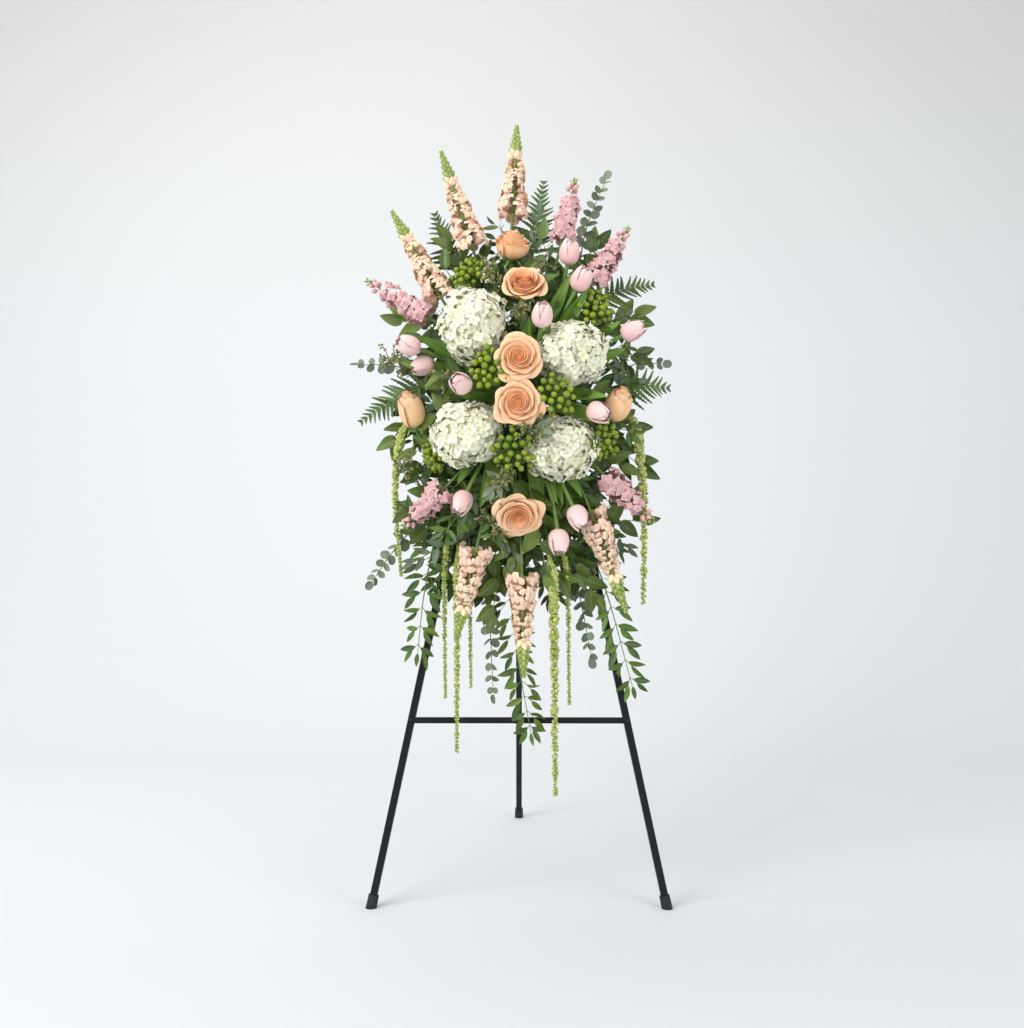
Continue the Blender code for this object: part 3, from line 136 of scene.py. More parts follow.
def ringFaces(rows, sides):
    index = np.arange(rows * sides).reshape(rows, sides)
    after = np.roll(index, -1, axis=1)
    faces = np.stack((index[:-1], after[:-1], after[1:], index[1:]), axis=-1).reshape(-1, 4)
    v, u = np.meshgrid(np.linspace(0, 1, rows), np.arange(sides) / sides, indexing="ij")
    return faces, np.stack((u, v), axis=-1).reshape(-1, 2)


def sheet(rows, cols, form):
    # a grid bent by form, with u from -1 to 1 across it and v from 0 to 1 along it
    v, u = np.meshgrid(np.linspace(0, 1, rows), np.linspace(-1, 1, cols), indexing="ij")
    points = np.stack(np.broadcast_arrays(*form(u, v)), axis=-1).reshape(-1, 3).astype(float)
    index = np.arange(rows * cols).reshape(rows, cols)
    faces = np.stack((index[:-1, :-1], index[:-1, 1:], index[1:, 1:], index[1:, :-1]), axis=-1).reshape(-1, 4)
    return points, faces, np.stack(((u + 1) / 2, v), axis=-1).reshape(-1, 2)


def turned(profile, sides):
    # a closed surface of revolution about +Z through (radius, height) points
    radii, heights = np.array(profile, float).T
    angle = np.arange(sides) * math.tau / sides
    points = np.stack((np.outer(radii, np.cos(angle)), np.outer(radii, np.sin(angle)),
                       np.repeat(heights[:, None], sides, 1)), axis=-1).reshape(-1, 3)
    return points, *ringFaces(len(profile), sides)


def tube(line, radii, sides):
    # a round stalk along the line
    line = np.asarray(line, float)
    radii = np.broadcast_to(radii, len(line))
    ahead = np.gradient(line, axis=0)
    ahead /= np.linalg.norm(ahead, axis=1)[:, None]
    side = np.array((0.9, 0.3, 0.2))
    rings = []
    angle = np.arange(sides) * math.tau / sides
    for spot, way, radius in zip(line, ahead, radii):
        side = side - side.dot(way) * way
        side /= np.linalg.norm(side)
        up = np.cross(way, side)
        rings.append(spot + radius * (np.outer(np.cos(angle), side) + np.outer(np.sin(angle), up)))
    return np.concatenate(rings), *ringFaces(len(line), sides)


def bezier(points, t):
    a, b, c, d = points
    return a * (1 - t) ** 3 + 3 * b * t * (1 - t) ** 2 + 3 * c * t * t * (1 - t) + d * t ** 3


def leafPatch(length, width, kind, fold, curl, wave=0.0, rows=9, cols=5):
    # a leaf that grows along +X with its face up +Z; a kind that isn't named below is a long strap
    def form(u, v):
        if kind == "lance":
            half = np.sin(np.pi * v ** 0.85) ** 0.85
        elif kind == "broad":
            half = (np.sin(np.pi * np.clip(v, 0, 1) ** 0.72) ** 0.7) * (1 - 0.25 * v ** 3)
        elif kind == "round":
            half = np.sqrt(np.clip(1 - (2 * v - 1) ** 2, 0, 1)) * (1 + 0.06 * np.cos(5 * v))
        else:
            half = np.clip(v * 7, 0.25, 1) ** 0.5 * np.clip((1 - v) * 2.6, 0, 1) ** 0.7
        across = width / 2 * half * u
        height = fold * width * np.abs(u) ** 1.4 * half - curl * length * v ** 2
        height = height + wave * width * np.sin(9 * v + 2.2 * np.sign(u)) * np.abs(u) ** 2 * half
        return length * v, across, height
    return sheet(rows, cols, form)


# Materials

def newMaterial(name):
    material = bpy.data.materials.new(name)
    material.use_nodes = True
    tree = material.node_tree
    return material, tree, tree.nodes["Principled BSDF"]


def mixed(tree, factor, first, second):
    blend = tree.nodes.new("ShaderNodeMix")
    blend.data_type = "RGBA"
    for socket, value in ((blend.inputs[0], factor), (blend.inputs[6], first), (blend.inputs[7], second)):
        if isinstance(value, bpy.types.NodeSocket):
            tree.links.new(value, socket)
        elif socket.type == "RGBA":
            socket.default_value = (*value, 1)
        else:
            socket.default_value = value
    return blend.outputs[2]


def ramp(tree, factor, stops):
    # 0 at the first stop, 1 at the second
    made = tree.nodes.new("ShaderNodeMapRange")
    low, high = stops
    made.inputs["From Min"].default_value = low
    made.inputs["From Max"].default_value = high
    tree.links.new(factor, made.inputs["Value"])
    return made.outputs["Result"]


def toneOf(tree):
    made = tree.nodes.new("ShaderNodeAttribute")
    made.attribute_name = "tone"
    return made.outputs["Fac"]


def noise(tree, scale, detail=3.0):
    coords = tree.nodes.new("ShaderNodeTexCoord")
    made = tree.nodes.new("ShaderNodeTexNoise")
    made.inputs["Scale"].default_value = scale
    made.inputs["Detail"].default_value = detail
    tree.links.new(coords.outputs["Object"], made.inputs["Vector"])
    return made.outputs["Fac"]


def uvParts(tree):
    coords = tree.nodes.new("ShaderNodeTexCoord")
    split = tree.nodes.new("ShaderNodeSeparateXYZ")
    tree.links.new(coords.outputs["UV"], split.inputs[0])
    return split.outputs["X"], split.outputs["Y"]


def sums(tree, operation, first, second=0.0):
    made = tree.nodes.new("ShaderNodeMath")
    made.operation = operation
    for socket, value in zip(made.inputs, (first, second)):
        if isinstance(value, bpy.types.NodeSocket):
            tree.links.new(value, socket)
        else:
            socket.default_value = value
    return made.outputs[0]


def bump(tree, shader, height, strength, distance):
    made = tree.nodes.new("ShaderNodeBump")
    made.inputs["Strength"].default_value = strength
    made.inputs["Distance"].default_value = distance
    tree.links.new(height, made.inputs["Height"])
    tree.links.new(made.outputs["Normal"], shader.inputs["Normal"])


petalSurface = {"rim": 0.85, "cloudScale": 180.0, "cloud": 0.16, "cloudShade": 0.72, "vein": 0.05,
                "veinShade": 0.6, "glowReach": (0.006, 0.003, 0.002), "glowScale": 0.6, "sheen": 0.15,
                "sheenRoughness": 0.5, "veinBump": 0.3, "bump": 0.25, "bumpDepth": 0.0006}
leafSurface = {"cloudScale": 60.0, "cloud": 0.3, "cloudShade": 0.6, "slant": 0.55, "vein": 0.28, "rib": 0.65,
               "ribEdge": (0.045, 0.012), "glow": 0.05, "glowReach": (0.002, 0.004, 0.001), "glowScale": 0.4,
               "veinBump": -0.6, "bump": 0.35, "bumpDepth": 0.0008}
skinSurface = {"cloud": 0.35, "cloudShade": 0.6, "glowReach": (0.003, 0.004, 0.001), "glowScale": 0.4,
               "bumpDepth": 0.0005}


def shaded(colour, share):
    return tuple(c * share for c in colour)


def addGlow(shader, weight, reach, scale):
    # light that passes a little way into petals, leaves and skins
    shader.inputs["Subsurface Weight"].default_value = weight
    shader.inputs["Subsurface Radius"].default_value = reach
    shader.inputs["Subsurface Scale"].default_value = scale


def petalMaterial(name, heart, body, rim, roughness=0.55, glow=0.12, rimFrom=0.72, veins=26.0):
    # body colour by tone from heart to body, then the rim colour along each petal, with fine veins
    look = petalSurface
    material, tree, shader = newMaterial(name)
    u, v = uvParts(tree)
    base = mixed(tree, toneOf(tree), heart, body)
    edge = ramp(tree, v, (rimFrom, 1.0))
    colour = mixed(tree, sums(tree, "MULTIPLY", edge, look["rim"]), base, rim)
    cloud = ramp(tree, noise(tree, look["cloudScale"]), (0.3, 0.75))
    spread = sums(tree, "MULTIPLY", cloud, look["cloud"])
    shade = mixed(tree, spread, colour, shaded(body, look["cloudShade"]))
    wave = sums(tree, "SINE", sums(tree, "MULTIPLY", u, veins * math.tau))
    fine = sums(tree, "MULTIPLY", ramp(tree, wave, (0.2, 1.0)), look["vein"])
    colour = mixed(tree, fine, shade, shaded(body, look["veinShade"]))
    tree.links.new(colour, shader.inputs["Base Color"])
    shader.inputs["Roughness"].default_value = roughness
    addGlow(shader, glow, look["glowReach"], look["glowScale"])
    shader.inputs["Sheen Weight"].default_value = look["sheen"]
    shader.inputs["Sheen Roughness"].default_value = look["sheenRoughness"]
    height = sums(tree, "ADD", sums(tree, "MULTIPLY", wave, look["veinBump"]), cloud)
    bump(tree, shader, height, look["bump"], look["bumpDepth"])
    return material


def leafMaterial(name, dark, light, rib, roughness, veins):
    # a leaf's tone from dark to light, a pale midrib and side veins that slant to the tip
    look = leafSurface
    material, tree, shader = newMaterial(name)
    u, v = uvParts(tree)
    side = sums(tree, "ABSOLUTE", sums(tree, "SUBTRACT", u, 0.5))
    base = mixed(tree, toneOf(tree), dark, light)
    cloud = ramp(tree, noise(tree, look["cloudScale"]), (0.3, 0.8))
    base = mixed(tree, sums(tree, "MULTIPLY", cloud, look["cloud"]), base, shaded(dark, look["cloudShade"]))
    slant = sums(tree, "SUBTRACT", v, sums(tree, "MULTIPLY", side, look["slant"]))
    wave = sums(tree, "SINE", sums(tree, "MULTIPLY", slant, veins * math.tau))
    lines = ramp(tree, wave, (0.82, 1.0))
    base = mixed(tree, sums(tree, "MULTIPLY", lines, look["vein"]), base, rib)
    middle = ramp(tree, side, look["ribEdge"])
    base = mixed(tree, sums(tree, "MULTIPLY", middle, look["rib"]), base, rib)
    tree.links.new(base, shader.inputs["Base Color"])
    shader.inputs["Roughness"].default_value = roughness
    addGlow(shader, look["glow"], look["glowReach"], look["glowScale"])
    height = sums(tree, "ADD", sums(tree, "MULTIPLY", lines, look["veinBump"]), cloud)
    bump(tree, shader, height, look["bump"], look["bumpDepth"])
    return material


def skinMaterial(name, low, high, roughness, grain=240.0, glow=0.05, bumpy=0.3):
    # stems, berries, seeds and made things: a mottled colour by tone
    look = skinSurface
    material, tree, shader = newMaterial(name)
    base = mixed(tree, toneOf(tree), low, high)
    cloud = ramp(tree, noise(tree, grain), (0.3, 0.75))
    base = mixed(tree, sums(tree, "MULTIPLY", cloud, look["cloud"]), base, shaded(low, look["cloudShade"]))
    tree.links.new(base, shader.inputs["Base Color"])
    shader.inputs["Roughness"].default_value = roughness
    addGlow(shader, glow, look["glowReach"], look["glowScale"])
    bump(tree, shader, cloud, bumpy, look["bumpDepth"])
    return material


stemGreen = skinMaterial("stem_green", (0.08, 0.17, 0.03), (0.2, 0.34, 0.07), roughness=0.45, grain=90.0)
rosePetal = petalMaterial("rose_petals", (1.0, 0.46, 0.16), (1.0, 0.59, 0.31), (1.0, 0.67, 0.43),
                          roughness=0.5, glow=0.35)
tulipPetal = petalMaterial("tulip_petals", (0.9, 0.46, 0.46), (0.94, 0.64, 0.62), (0.95, 0.77, 0.72),
                           roughness=0.42, glow=0.2, rimFrom=0.6)
hydrangeaPetal = petalMaterial("hydrangea_petals", (0.78, 0.8, 0.36), (0.97, 0.95, 0.8), (0.98, 0.96, 0.86),
                               roughness=0.6, glow=0.15, rimFrom=0.6, veins=9.0)
snapPetal = petalMaterial("snapdragon_petals", (0.99, 0.84, 0.52), (0.99, 0.67, 0.51), (1.0, 0.84, 0.69),
                          glow=0.35)
stockPetal = petalMaterial("stock_petals", (0.68, 0.26, 0.3), (0.84, 0.46, 0.47), (0.93, 0.68, 0.65),
                           roughness=0.6, glow=0.15, rimFrom=0.5)
budGreen = skinMaterial("bud_green", (0.2, 0.3, 0.05), (0.48, 0.56, 0.18), roughness=0.5)
hydrangeaCore = skinMaterial("hydrangea_core", (0.7, 0.74, 0.4), (0.84, 0.85, 0.56), roughness=0.8,
                             grain=120.0, glow=0.1)
berryGreen = skinMaterial("berry_green", (0.13, 0.22, 0.01), (0.33, 0.41, 0.03), roughness=0.2, grain=160.0,
                          glow=0.12, bumpy=0.1)
tasselGreen = skinMaterial("tassel_green", (0.34, 0.42, 0.08), (0.64, 0.68, 0.25), roughness=0.7, grain=400.0)
fernLeaf = leafMaterial("fern_leaf_green", (0.026, 0.066, 0.01), (0.1, 0.195, 0.025), (0.12, 0.21, 0.05),
                        roughness=0.5, veins=7.0)
ruscusLeaf = leafMaterial("ruscus_leaf_green", (0.03, 0.08, 0.009), (0.13, 0.24, 0.025), (0.16, 0.28, 0.05),
                          roughness=0.38, veins=5.0)
broadLeaf = leafMaterial("broad_leaf_green", (0.038, 0.082, 0.009), (0.2, 0.3, 0.035), (0.2, 0.3, 0.07),
                         roughness=0.4, veins=8.0)
greyLeaf = leafMaterial("grey_leaf_green", (0.095, 0.14, 0.085), (0.27, 0.34, 0.24), (0.28, 0.34, 0.23),
                        roughness=0.55, veins=6.0)
tulipLeaf = leafMaterial("tulip_leaf_green", (0.08, 0.19, 0.02), (0.2, 0.36, 0.05), (0.22, 0.36, 0.08),
                         roughness=0.42, veins=3.0)
seedTan = skinMaterial("seed_tan", (0.16, 0.15, 0.05), (0.36, 0.36, 0.16), roughness=0.6, grain=500.0)
print("materials made")


# Stems: each starts inside the foam and bends once on its way to its bloom

stemLook = {"points": 12, "sides": 7, "foamReach": 45, "startPull": 0.4, "endPull": 0.32, "flare": 1.15}
foamMiddle = np.array((0.0, leanSine * easelLook["foamAlong"] - leanCosine * easelLook["foamForward"],
                       leanCosine * easelLook["foamAlong"] + leanSine * easelLook["foamForward"]))


def unit(vector):
    vector = np.asarray(vector, float)
    return vector / np.linalg.norm(vector)


def addStem(shape, end, endWay, radius, tone=0.4):
    end = np.asarray(end, float)
    endWay = unit(endWay)
    way = unit(end - foamMiddle)
    start = foamMiddle + way * stemLook["foamReach"]
    reach = np.linalg.norm(end - start)
    t = np.linspace(0, 1, stemLook["points"])[:, None]
    line = bezier((start, start + way * reach * stemLook["startPull"],
                   end - endWay * reach * stemLook["endPull"], end), t)
    shape.add(tube(line, np.linspace(radius * stemLook["flare"], radius, len(line)), stemLook["sides"]), 0,
              None, tone)
    return line


def leafAt(shape, patch, slot, root, way, face, tone, turn=0.0):
    # a leaf patch on its root, growing along way with its face as near as can be to face
    way = unit(way)
    up = np.asarray(face, float) - np.dot(face, way) * way
    up = unit(up) * math.cos(turn) + np.cross(way, unit(up)) * math.sin(turn)
    matrix = np.eye(4)
    matrix[:3, 0], matrix[:3, 1], matrix[:3, 2], matrix[:3, 3] = way, np.cross(up, way), up, root
    shape.add(patch, slot, matrix, tone)


# Roses

roseLook = {"petals": 22, "budPetals": 18, "heartTurns": 3.3, "heartWide": 0.3, "spiral": 0.12,
            "ruffle": 0.035, "lip": 0.2, "point": 0.1, "sepals": 5, "sepalLength": 25, "sepalWidth": 8,
            "petalTurn": 2.4, "tilt": 0.05, "budScale": 1.1, "stemRadius": 3.0}
# name, middle, way it faces, radius, height, how far it is open
roses = (
    ("rose_top", (-15, 45, 1392), (0.05, -0.45, 1.0), 43, 60, 0.65),
    ("rose_upper", (10, -10, 1297), (0.0, -1.0, 0.65), 45, 52, 0.95),
    ("rose_centre_high", (0, -92, 1133), (0.02, -1.0, 0.05), 46, 44, 1.0),
    ("rose_centre_low", (-2, -92, 1042), (0.0, -1.0, -0.05), 46, 44, 1.0),
    ("rose_left", (-228, 10, 1040), (-0.25, -0.35, 1.0), 30, 74, 0.2),
    ("rose_right", (208, 5, 1050), (0.35, -0.45, 1.0), 32, 70, 0.3),
    ("rose_low", (0, -35, 815), (0.0, -1.0, -0.55), 47, 39, 1.0),
)


# the green hip below a rose in millimetres, and the inner petals as shares of radius and height
roseHip = turned([(0.1, -11), (4, -10), (8, -4), (9.5, 1), (7, 4)], 10)
roseCores = (([(0.2, 0.2), (0.22, 0.6), (0.16, 0.76), (0.002, 0.79)], 0.0),
             ([(0.5, 0.2), (0.56, 0.42), (0.46, 0.58), (0.24, 0.7), (0.01, 0.72)], 0.3))
sepalPatch = leafPatch(roseLook["sepalLength"], roseLook["sepalWidth"], "lance", fold=0.2, curl=0.3,
                       wave=0.1, rows=7, cols=3)


def rosePetalPatch(radius, height, t, openness, phase):
    # t runs from the innermost petal to the outermost, which lies lowest and widest
    shut = 1 - openness
    tipR = radius * ((0.3 + 0.72 * t) * openness + (0.06 + 0.46 * t) * shut)
    bellyR = radius * ((0.26 + 0.56 * t) * openness + (0.22 + 0.8 * t) * shut)
    tipZ = height * (1 - 0.44 * openness * t ** 1.4 - 0.16 * shut * t)
    half = 0.85 + 1.1 * (1 - t) ** 2
    lip = roseLook["lip"] * (0.55 + 0.45 * openness) * (0.3 + 0.7 * t)

    def form(u, v):
        w = v * (1 - (0.06 + 0.16 * t) * np.abs(u) ** 2.4 + roseLook["point"] * t * (1 - np.abs(u)) ** 2)
        r = bezier((0.1 * radius, bellyR * 0.95, bellyR * 1.04, tipR), w)
        z = bezier((0.0, 0.02 * height, 0.64 * tipZ, tipZ), w)
        curl = np.clip((w - 0.76) / 0.24, 0, 1.3) ** 2
        r = r + curl * radius * 0.6 * lip * (1 + 0.4 * np.abs(u))
        z = z - curl * radius * lip * (0.75 + 0.6 * np.abs(u))
        r = r * (1 + roseLook["spiral"] * u * (1 - 0.35 * t))
        r = r + roseLook["ruffle"] * openness * radius * np.sin(1.9 * np.pi * u + phase) * v ** 3 * t
        angle = u * half * (0.55 + 0.45 * np.sin(np.pi * np.clip(v, 0, 1) * 0.6))
        return r * np.cos(angle), r * np.sin(angle), z
    return sheet(12, 13, form)


def roseHeart(radius, height, openness):
    # the rolled petals in the middle, as one wall that winds outward
    wide = roseLook["heartWide"] * (0.35 + 0.65 * openness)

    def form(u, v):
        run = (u + 1) / 2
        angle = run * roseLook["heartTurns"] * math.tau
        r = radius * (0.015 + wide * run) * (0.82 + 0.18 * v)
        r = r + radius * 0.05 * run * np.clip((v - 0.7) / 0.3, 0, 1) ** 2
        top = height * (0.86 + 0.11 * run + 0.02 * np.sin(angle * 1.3))
        return r * np.cos(angle), r * np.sin(angle), top * (0.45 + 0.55 * v)
    return sheet(6, 72, form)


def buildRose(name, centre, facing, radius, height, openness):
    shape = Shape()
    facing = unit(facing)
    base = np.array(centre, float) - facing * height * 0.5
    head = aim(base, facing, turn=rng.uniform(0, math.tau))
    addStem(shape, base - facing * 4, facing, roseLook["stemRadius"])
    shape.add(roseHip, 0, head, 0.6)
    shape.add(roseHeart(radius, height, openness), 1, head, 0.08)
    for profile, tone in roseCores:
        shape.add(turned([(r * radius, z * height) for r, z in profile], 14), 1, head, tone)
    count = roseLook["petals"] if openness >= 0.5 else roseLook["budPetals"]
    for k in range(count):
        t = (k + 0.3) / count
        patch = rosePetalPatch(radius, height, t, openness, rng.uniform(0, math.tau))
        lean = Matrix.Rotation(rng.uniform(-roseLook["tilt"], roseLook["tilt"]) * t, 4, "X")
        spin = Matrix.Rotation(k * roseLook["petalTurn"], 4, "Z")
        tone = min(1.0, 0.12 + 0.95 * t ** 0.6 + rng.uniform(-0.05, 0.05))
        shape.add(patch, 1, head @ np.array(lean @ spin), tone)
    for k in range(roseLook["sepals"]):
        angle = k * math.tau / roseLook["sepals"]
        way = np.array((math.cos(angle), math.sin(angle), -0.25))
        root = head[:3, :3] @ (np.array((math.cos(angle), math.sin(angle), 0)) * 7) + head[:3, 3]
        leafAt(shape, sepalPatch, 0, root, head[:3, :3] @ way, facing, 0.7)
    shape.build(name + "_bloom", (stemGreen, rosePetal), (name,))


for name, centre, facing, radius, height, openness in roses:
    grown = roseLook["budScale"] if openness < 0.5 else 1.0
    buildRose(name, centre, facing, radius * grown, height * grown, openness)
print("roses made")


# Tulips

tulipLook = {"radius": 21.5, "height": 55, "petals": 6, "mouth": 0.5, "innerSize": 0.88, "stemRadius": 4.4,
             "leafLength": 165, "leafWidth": 32, "leafStep": 3}
# name, then a middle and the way it faces for each bloom
tulips = (
    ("tulips_upper_right", ((106, 25, 1372), (0.15, -0.3, 1.0)), ((130, -12, 1308), (0.55, -0.5, 1.0)),
     ((47, -78, 1222), (0.1, -0.6, 1.0))),
    ("tulip_right", ((240, 15, 1205), (1.0, -0.35, 0.45))),
    ("tulips_left", ((-118, -86, 1083), (-0.45, -1.0, 0.3)), ((-232, 0, 1172), (-1.0, -0.5, 0.3)),
     ((-205, 30, 1132), (-1.0, -0.3, -0.25))),
    ("tulip_inner_right", ((163, -60, 1025), (0.9, -0.7, -0.45))),
    ("tulip_low_left", ((-118, -35, 842), (-0.45, -0.55, -1.0))),
    ("tulips_low_right", ((122, -28, 812), (0.45, -0.45, -1.0)), ((82, -28, 762), (0.1, -0.35, -1.0))),
)


def tulipPetalPatch(radius, height, inner, phase):
    grow = tulipLook["innerSize"] if inner else 1.0
    mouth = tulipLook["mouth"] * (0.8 if inner else 1.0)

    def form(u, v):
        r = bezier((0.12 * radius, radius * 1.16 * grow, radius * 1.24 * grow, radius * mouth), v)
        z = bezier((0.0, 0.0, 0.6 * height, height * (0.95 if inner else 1.0)), v)
        r = r + 0.06 * radius * np.sin(3 * u + phase) * v ** 3
        angle = u * 1.08 * np.clip(1 - v ** 4.5, 0.0, 1) ** 0.55
        r = r * (1 + 0.05 * np.abs(u) * v) + 0.5 * (1 - np.abs(u)) ** 2 * v
        return r * np.cos(angle), r * np.sin(angle), z - 0.05 * height * np.abs(u) * v
    return sheet(12, 9, form)


tulipCore = [(0.3, 0.05), (0.8, 0.25), (0.84, 0.5), (0.62, 0.72), (0.35, 0.82), (0.02, 0.85)]


def buildTulips(name, *blooms):
    shape = Shape()
    radius, height = tulipLook["radius"], tulipLook["height"]
    for centre, facing in blooms:
        facing = unit(facing)
        base = np.array(centre, float) - facing * height * 0.5
        head = aim(base, facing, turn=rng.uniform(0, math.tau))
        line = addStem(shape, base + facing * 2, facing, tulipLook["stemRadius"], 0.7)
        shape.add(turned([(r * radius, z * height) for r, z in tulipCore], 12), 1, head, 0.3)
        for k in range(tulipLook["petals"]):
            turn = np.array(Matrix.Rotation(k * math.tau / tulipLook["petals"], 4, "Z"))
            patch = tulipPetalPatch(radius, height, k % 2, rng.uniform(0, 6))
            shape.add(patch, 1, head @ turn, rng.uniform(0.55, 1.0))
        span = np.linalg.norm(line[-1] - line[0])
        start = line[tulipLook["leafStep"]]
        along = unit(line[-1] - start)
        across = unit(np.cross(along, (0, -1, 0)))
        for side in (-1, 1):
            length = min(tulipLook["leafLength"], span * 0.85) * rng.uniform(0.85, 1.05)
            width = tulipLook["leafWidth"] * rng.uniform(0.8, 1.05)
            patch = leafPatch(length, width, "strap", fold=0.28, curl=0.06, wave=0.03, rows=15)
            way = along + across * side * rng.uniform(0.1, 0.24) + np.array((0, 0.02, 0))
            leafAt(shape, patch, 2, start + across * side * 4, way, (0, -1, 0.2), rng.uniform(0.2, 1.0),
                   side * rng.uniform(0.2, 0.7))
    shape.build(name + "_blooms", (stemGreen, tulipPetal, tulipLeaf), (name,))


for entry in tulips:
    buildTulips(*entry)
print("tulips made")


# Hydrangeas

hydrangeaLook = {"florets": 225, "kinds": 7, "petalLength": 11.5, "petalWidth": 12.5, "reach": 138,
                 "core": 0.83, "lump": 0.09, "squash": 0.07, "tilt": 0.42, "stemRadius": 3.6}
# name, middle, way it faces, radius
hydrangeas = (
    ("hydrangea_upper_left", (-94, -18, 1210), (-0.25, -1.0, 0.15), 75),
    ("hydrangea_upper_right", (108, -18, 1152), (0.3, -1.0, 0.05), 72),
    ("hydrangea_lower_left", (-106, -18, 985), (-0.3, -1.0, -0.1), 73),
    ("hydrangea_lower_right", (86, -18, 958), (0.25, -1.0, -0.15), 72),
)


def joined(patches):
    # several patches as one
    parts, at = [], 0
    for verts, faces, uv in patches:
        parts.append((verts, faces + at, uv))
        at += len(verts)
    return tuple(np.concatenate(group) for group in zip(*parts))


def floretPatch(seed):
    # four broad cupped petals round a small eye
    pick = random.Random(seed)
    patches = []
    for k in range(4):
        lift = pick.uniform(2.5, 6.0)
        roll = pick.uniform(1.5, 4.5)
        size = pick.uniform(0.86, 1.12)
        crease = pick.uniform(-1.5, 3.5)
        phase = pick.uniform(0, 6)

        def form(u, v):
            half = np.sqrt(np.clip(1 - (1.75 * v - 0.8) ** 2, 0.0, 1)) * (0.35 + 0.65 * np.clip(3 * v, 0, 1))
            out = 1.2 + hydrangeaLook["petalLength"] * size * v * (1 - 0.1 * u * u)
            across = hydrangeaLook["petalWidth"] * size / 2 * half * u
            up = lift * v - roll * v ** 3 + crease * np.abs(u) ** 2 * v + 0.9 * v * np.sin(4 * u + phase)
            return out, across, up + 0.5 * (k % 2)
        verts, faces, uv = sheet(7, 5, form)
        spin = np.array(Matrix.Rotation(k * math.pi / 2 + pick.uniform(-0.14, 0.14), 4, "Z"))[:3, :3]
        patches.append((verts @ spin.T, faces, uv))
    return joined(patches)


floretPatches = [floretPatch(k) for k in range(hydrangeaLook["kinds"])]
eyePatch = turned([(0.1, 2.0), (1.3, 1.6), (1.7, 0.4), (1.0, -0.6)], 6)


def buildHydrangea(name, centre, facing, radius):
    shape = Shape()
    facing = unit(facing)
    head = aim(centre, facing)
    addStem(shape, np.array(centre) - facing * radius * 0.4, facing, hydrangeaLook["stemRadius"])
    phases = [rng.uniform(0, math.tau) for _ in range(3)]

    def swell(out):
        # the head's soft lumps
        wave = np.sin(4.5 * out[..., 0] + phases[0]) * np.cos(5.5 * out[..., 1] + phases[1])
        cross = np.sin(7 * out[..., 2] + 4 * out[..., 0] + phases[2])
        return 1 + hydrangeaLook["lump"] * (wave + 0.6 * cross)

    verts, faces, uv = turned([(math.sin(a), math.cos(a)) for a in np.linspace(2.75, 0.02, 15)], 24)
    wide = rng.choice((-1, 1)) * hydrangeaLook["squash"]
    stretch = np.array((1 + wide, 1 - wide, 0.95))
    verts = verts * (swell(verts) * radius * hydrangeaLook["core"])[:, None] * stretch
    shape.add((verts, faces, uv), 2, head, 0.6)
    low = math.cos(math.radians(hydrangeaLook["reach"]))
    for k in range(hydrangeaLook["florets"]):
        height = 1 - (1 - low) * (k + 0.4) / hydrangeaLook["florets"]
        flat = math.sqrt(max(0.0, 1 - height * height))
        out = np.array((flat * math.cos(k * goldenTurn), flat * math.sin(k * goldenTurn), height))
        reach = radius * (0.91 * swell(out) + rng.uniform(-0.06, 0.05))
        spot = head[:3, :3] @ (out * stretch * reach) + head[:3, 3]
        lean = np.array([rng.uniform(-1, 1) for _ in range(3)]) * hydrangeaLook["tilt"]
        way = unit(head[:3, :3] @ out + lean)
        floret = scaled(aim(spot, way, turn=rng.uniform(0, math.tau)), rng.uniform(0.82, 1.06))
        patch = rng.choice(floretPatches)
        pale = min(1.0, rng.uniform(0.74, 1.2))
        # tone falls towards each petal's base: partly the floret's own green centre, partly painted shade
        # between the florets
        shape.add(patch, 1, floret, pale - 0.5 * (1 - patch[2][:, 1]) ** 2)
        shape.add(eyePatch, 2, floret, 0.9)
    shape.build(name + "_bloom", (stemGreen, hydrangeaPetal, hydrangeaCore), (name,))


for entry in hydrangeas:
    buildHydrangea(*entry)
print("hydrangeas made")


# Snapdragons and stocks: open florets in whorls, then buds to the tip

# share is how far up the spike the florets are open; front keeps the snapdragon's stem in sight
spikeLook = {"stemRadius": 3.0, "points": 14,
             "snap": {"whorls": 9, "around": 4, "share": 0.64, "reach": 24, "size": 22, "front": 0.93,
                      "taper": 0.48, "turn": 1.15, "rise": 0.35,
                      "buds": 13, "budSize": 12.5, "budReach": 4.5},
             "stock": {"whorls": 6, "around": 5, "share": 0.76, "reach": 25, "size": 14.5, "front": 1.1,
                       "taper": 0.35, "turn": 0.8, "rise": 0.15,
                       "buds": 4, "budSize": 8.5, "budReach": 9}}
# name, then the foot and the tip of each spike
snapdragons = (
    ("snapdragon_top", ((-15, 105, 1462), (-5, 122, 1664))),
    ("snapdragon_upper_left", ((-100, 92, 1395), (-168, 112, 1605))),
    ("snapdragon_left", ((-165, 62, 1280), (-270, 75, 1465))),
    ("snapdragon_low_left", ((-88, 8, 752), (-130, 0, 565))),
    ("snapdragon_low_centre", ((6, 8, 695), (10, -4, 488))),
    ("snapdragon_low_right", ((148, 18, 832), (222, 8, 622))),
)
stocks = (
    ("stocks_upper_right", ((92, 72, 1408), (120, 84, 1538)), ((158, 45, 1312), (232, 60, 1428))),
    ("stock_left", ((-195, 35, 1238), (-322, 50, 1315))),
    ("stock_low_left", ((-158, 12, 872), (-240, 12, 795))),
    ("stock_low_right", ((182, 12, 898), (278, 12, 805))),
)


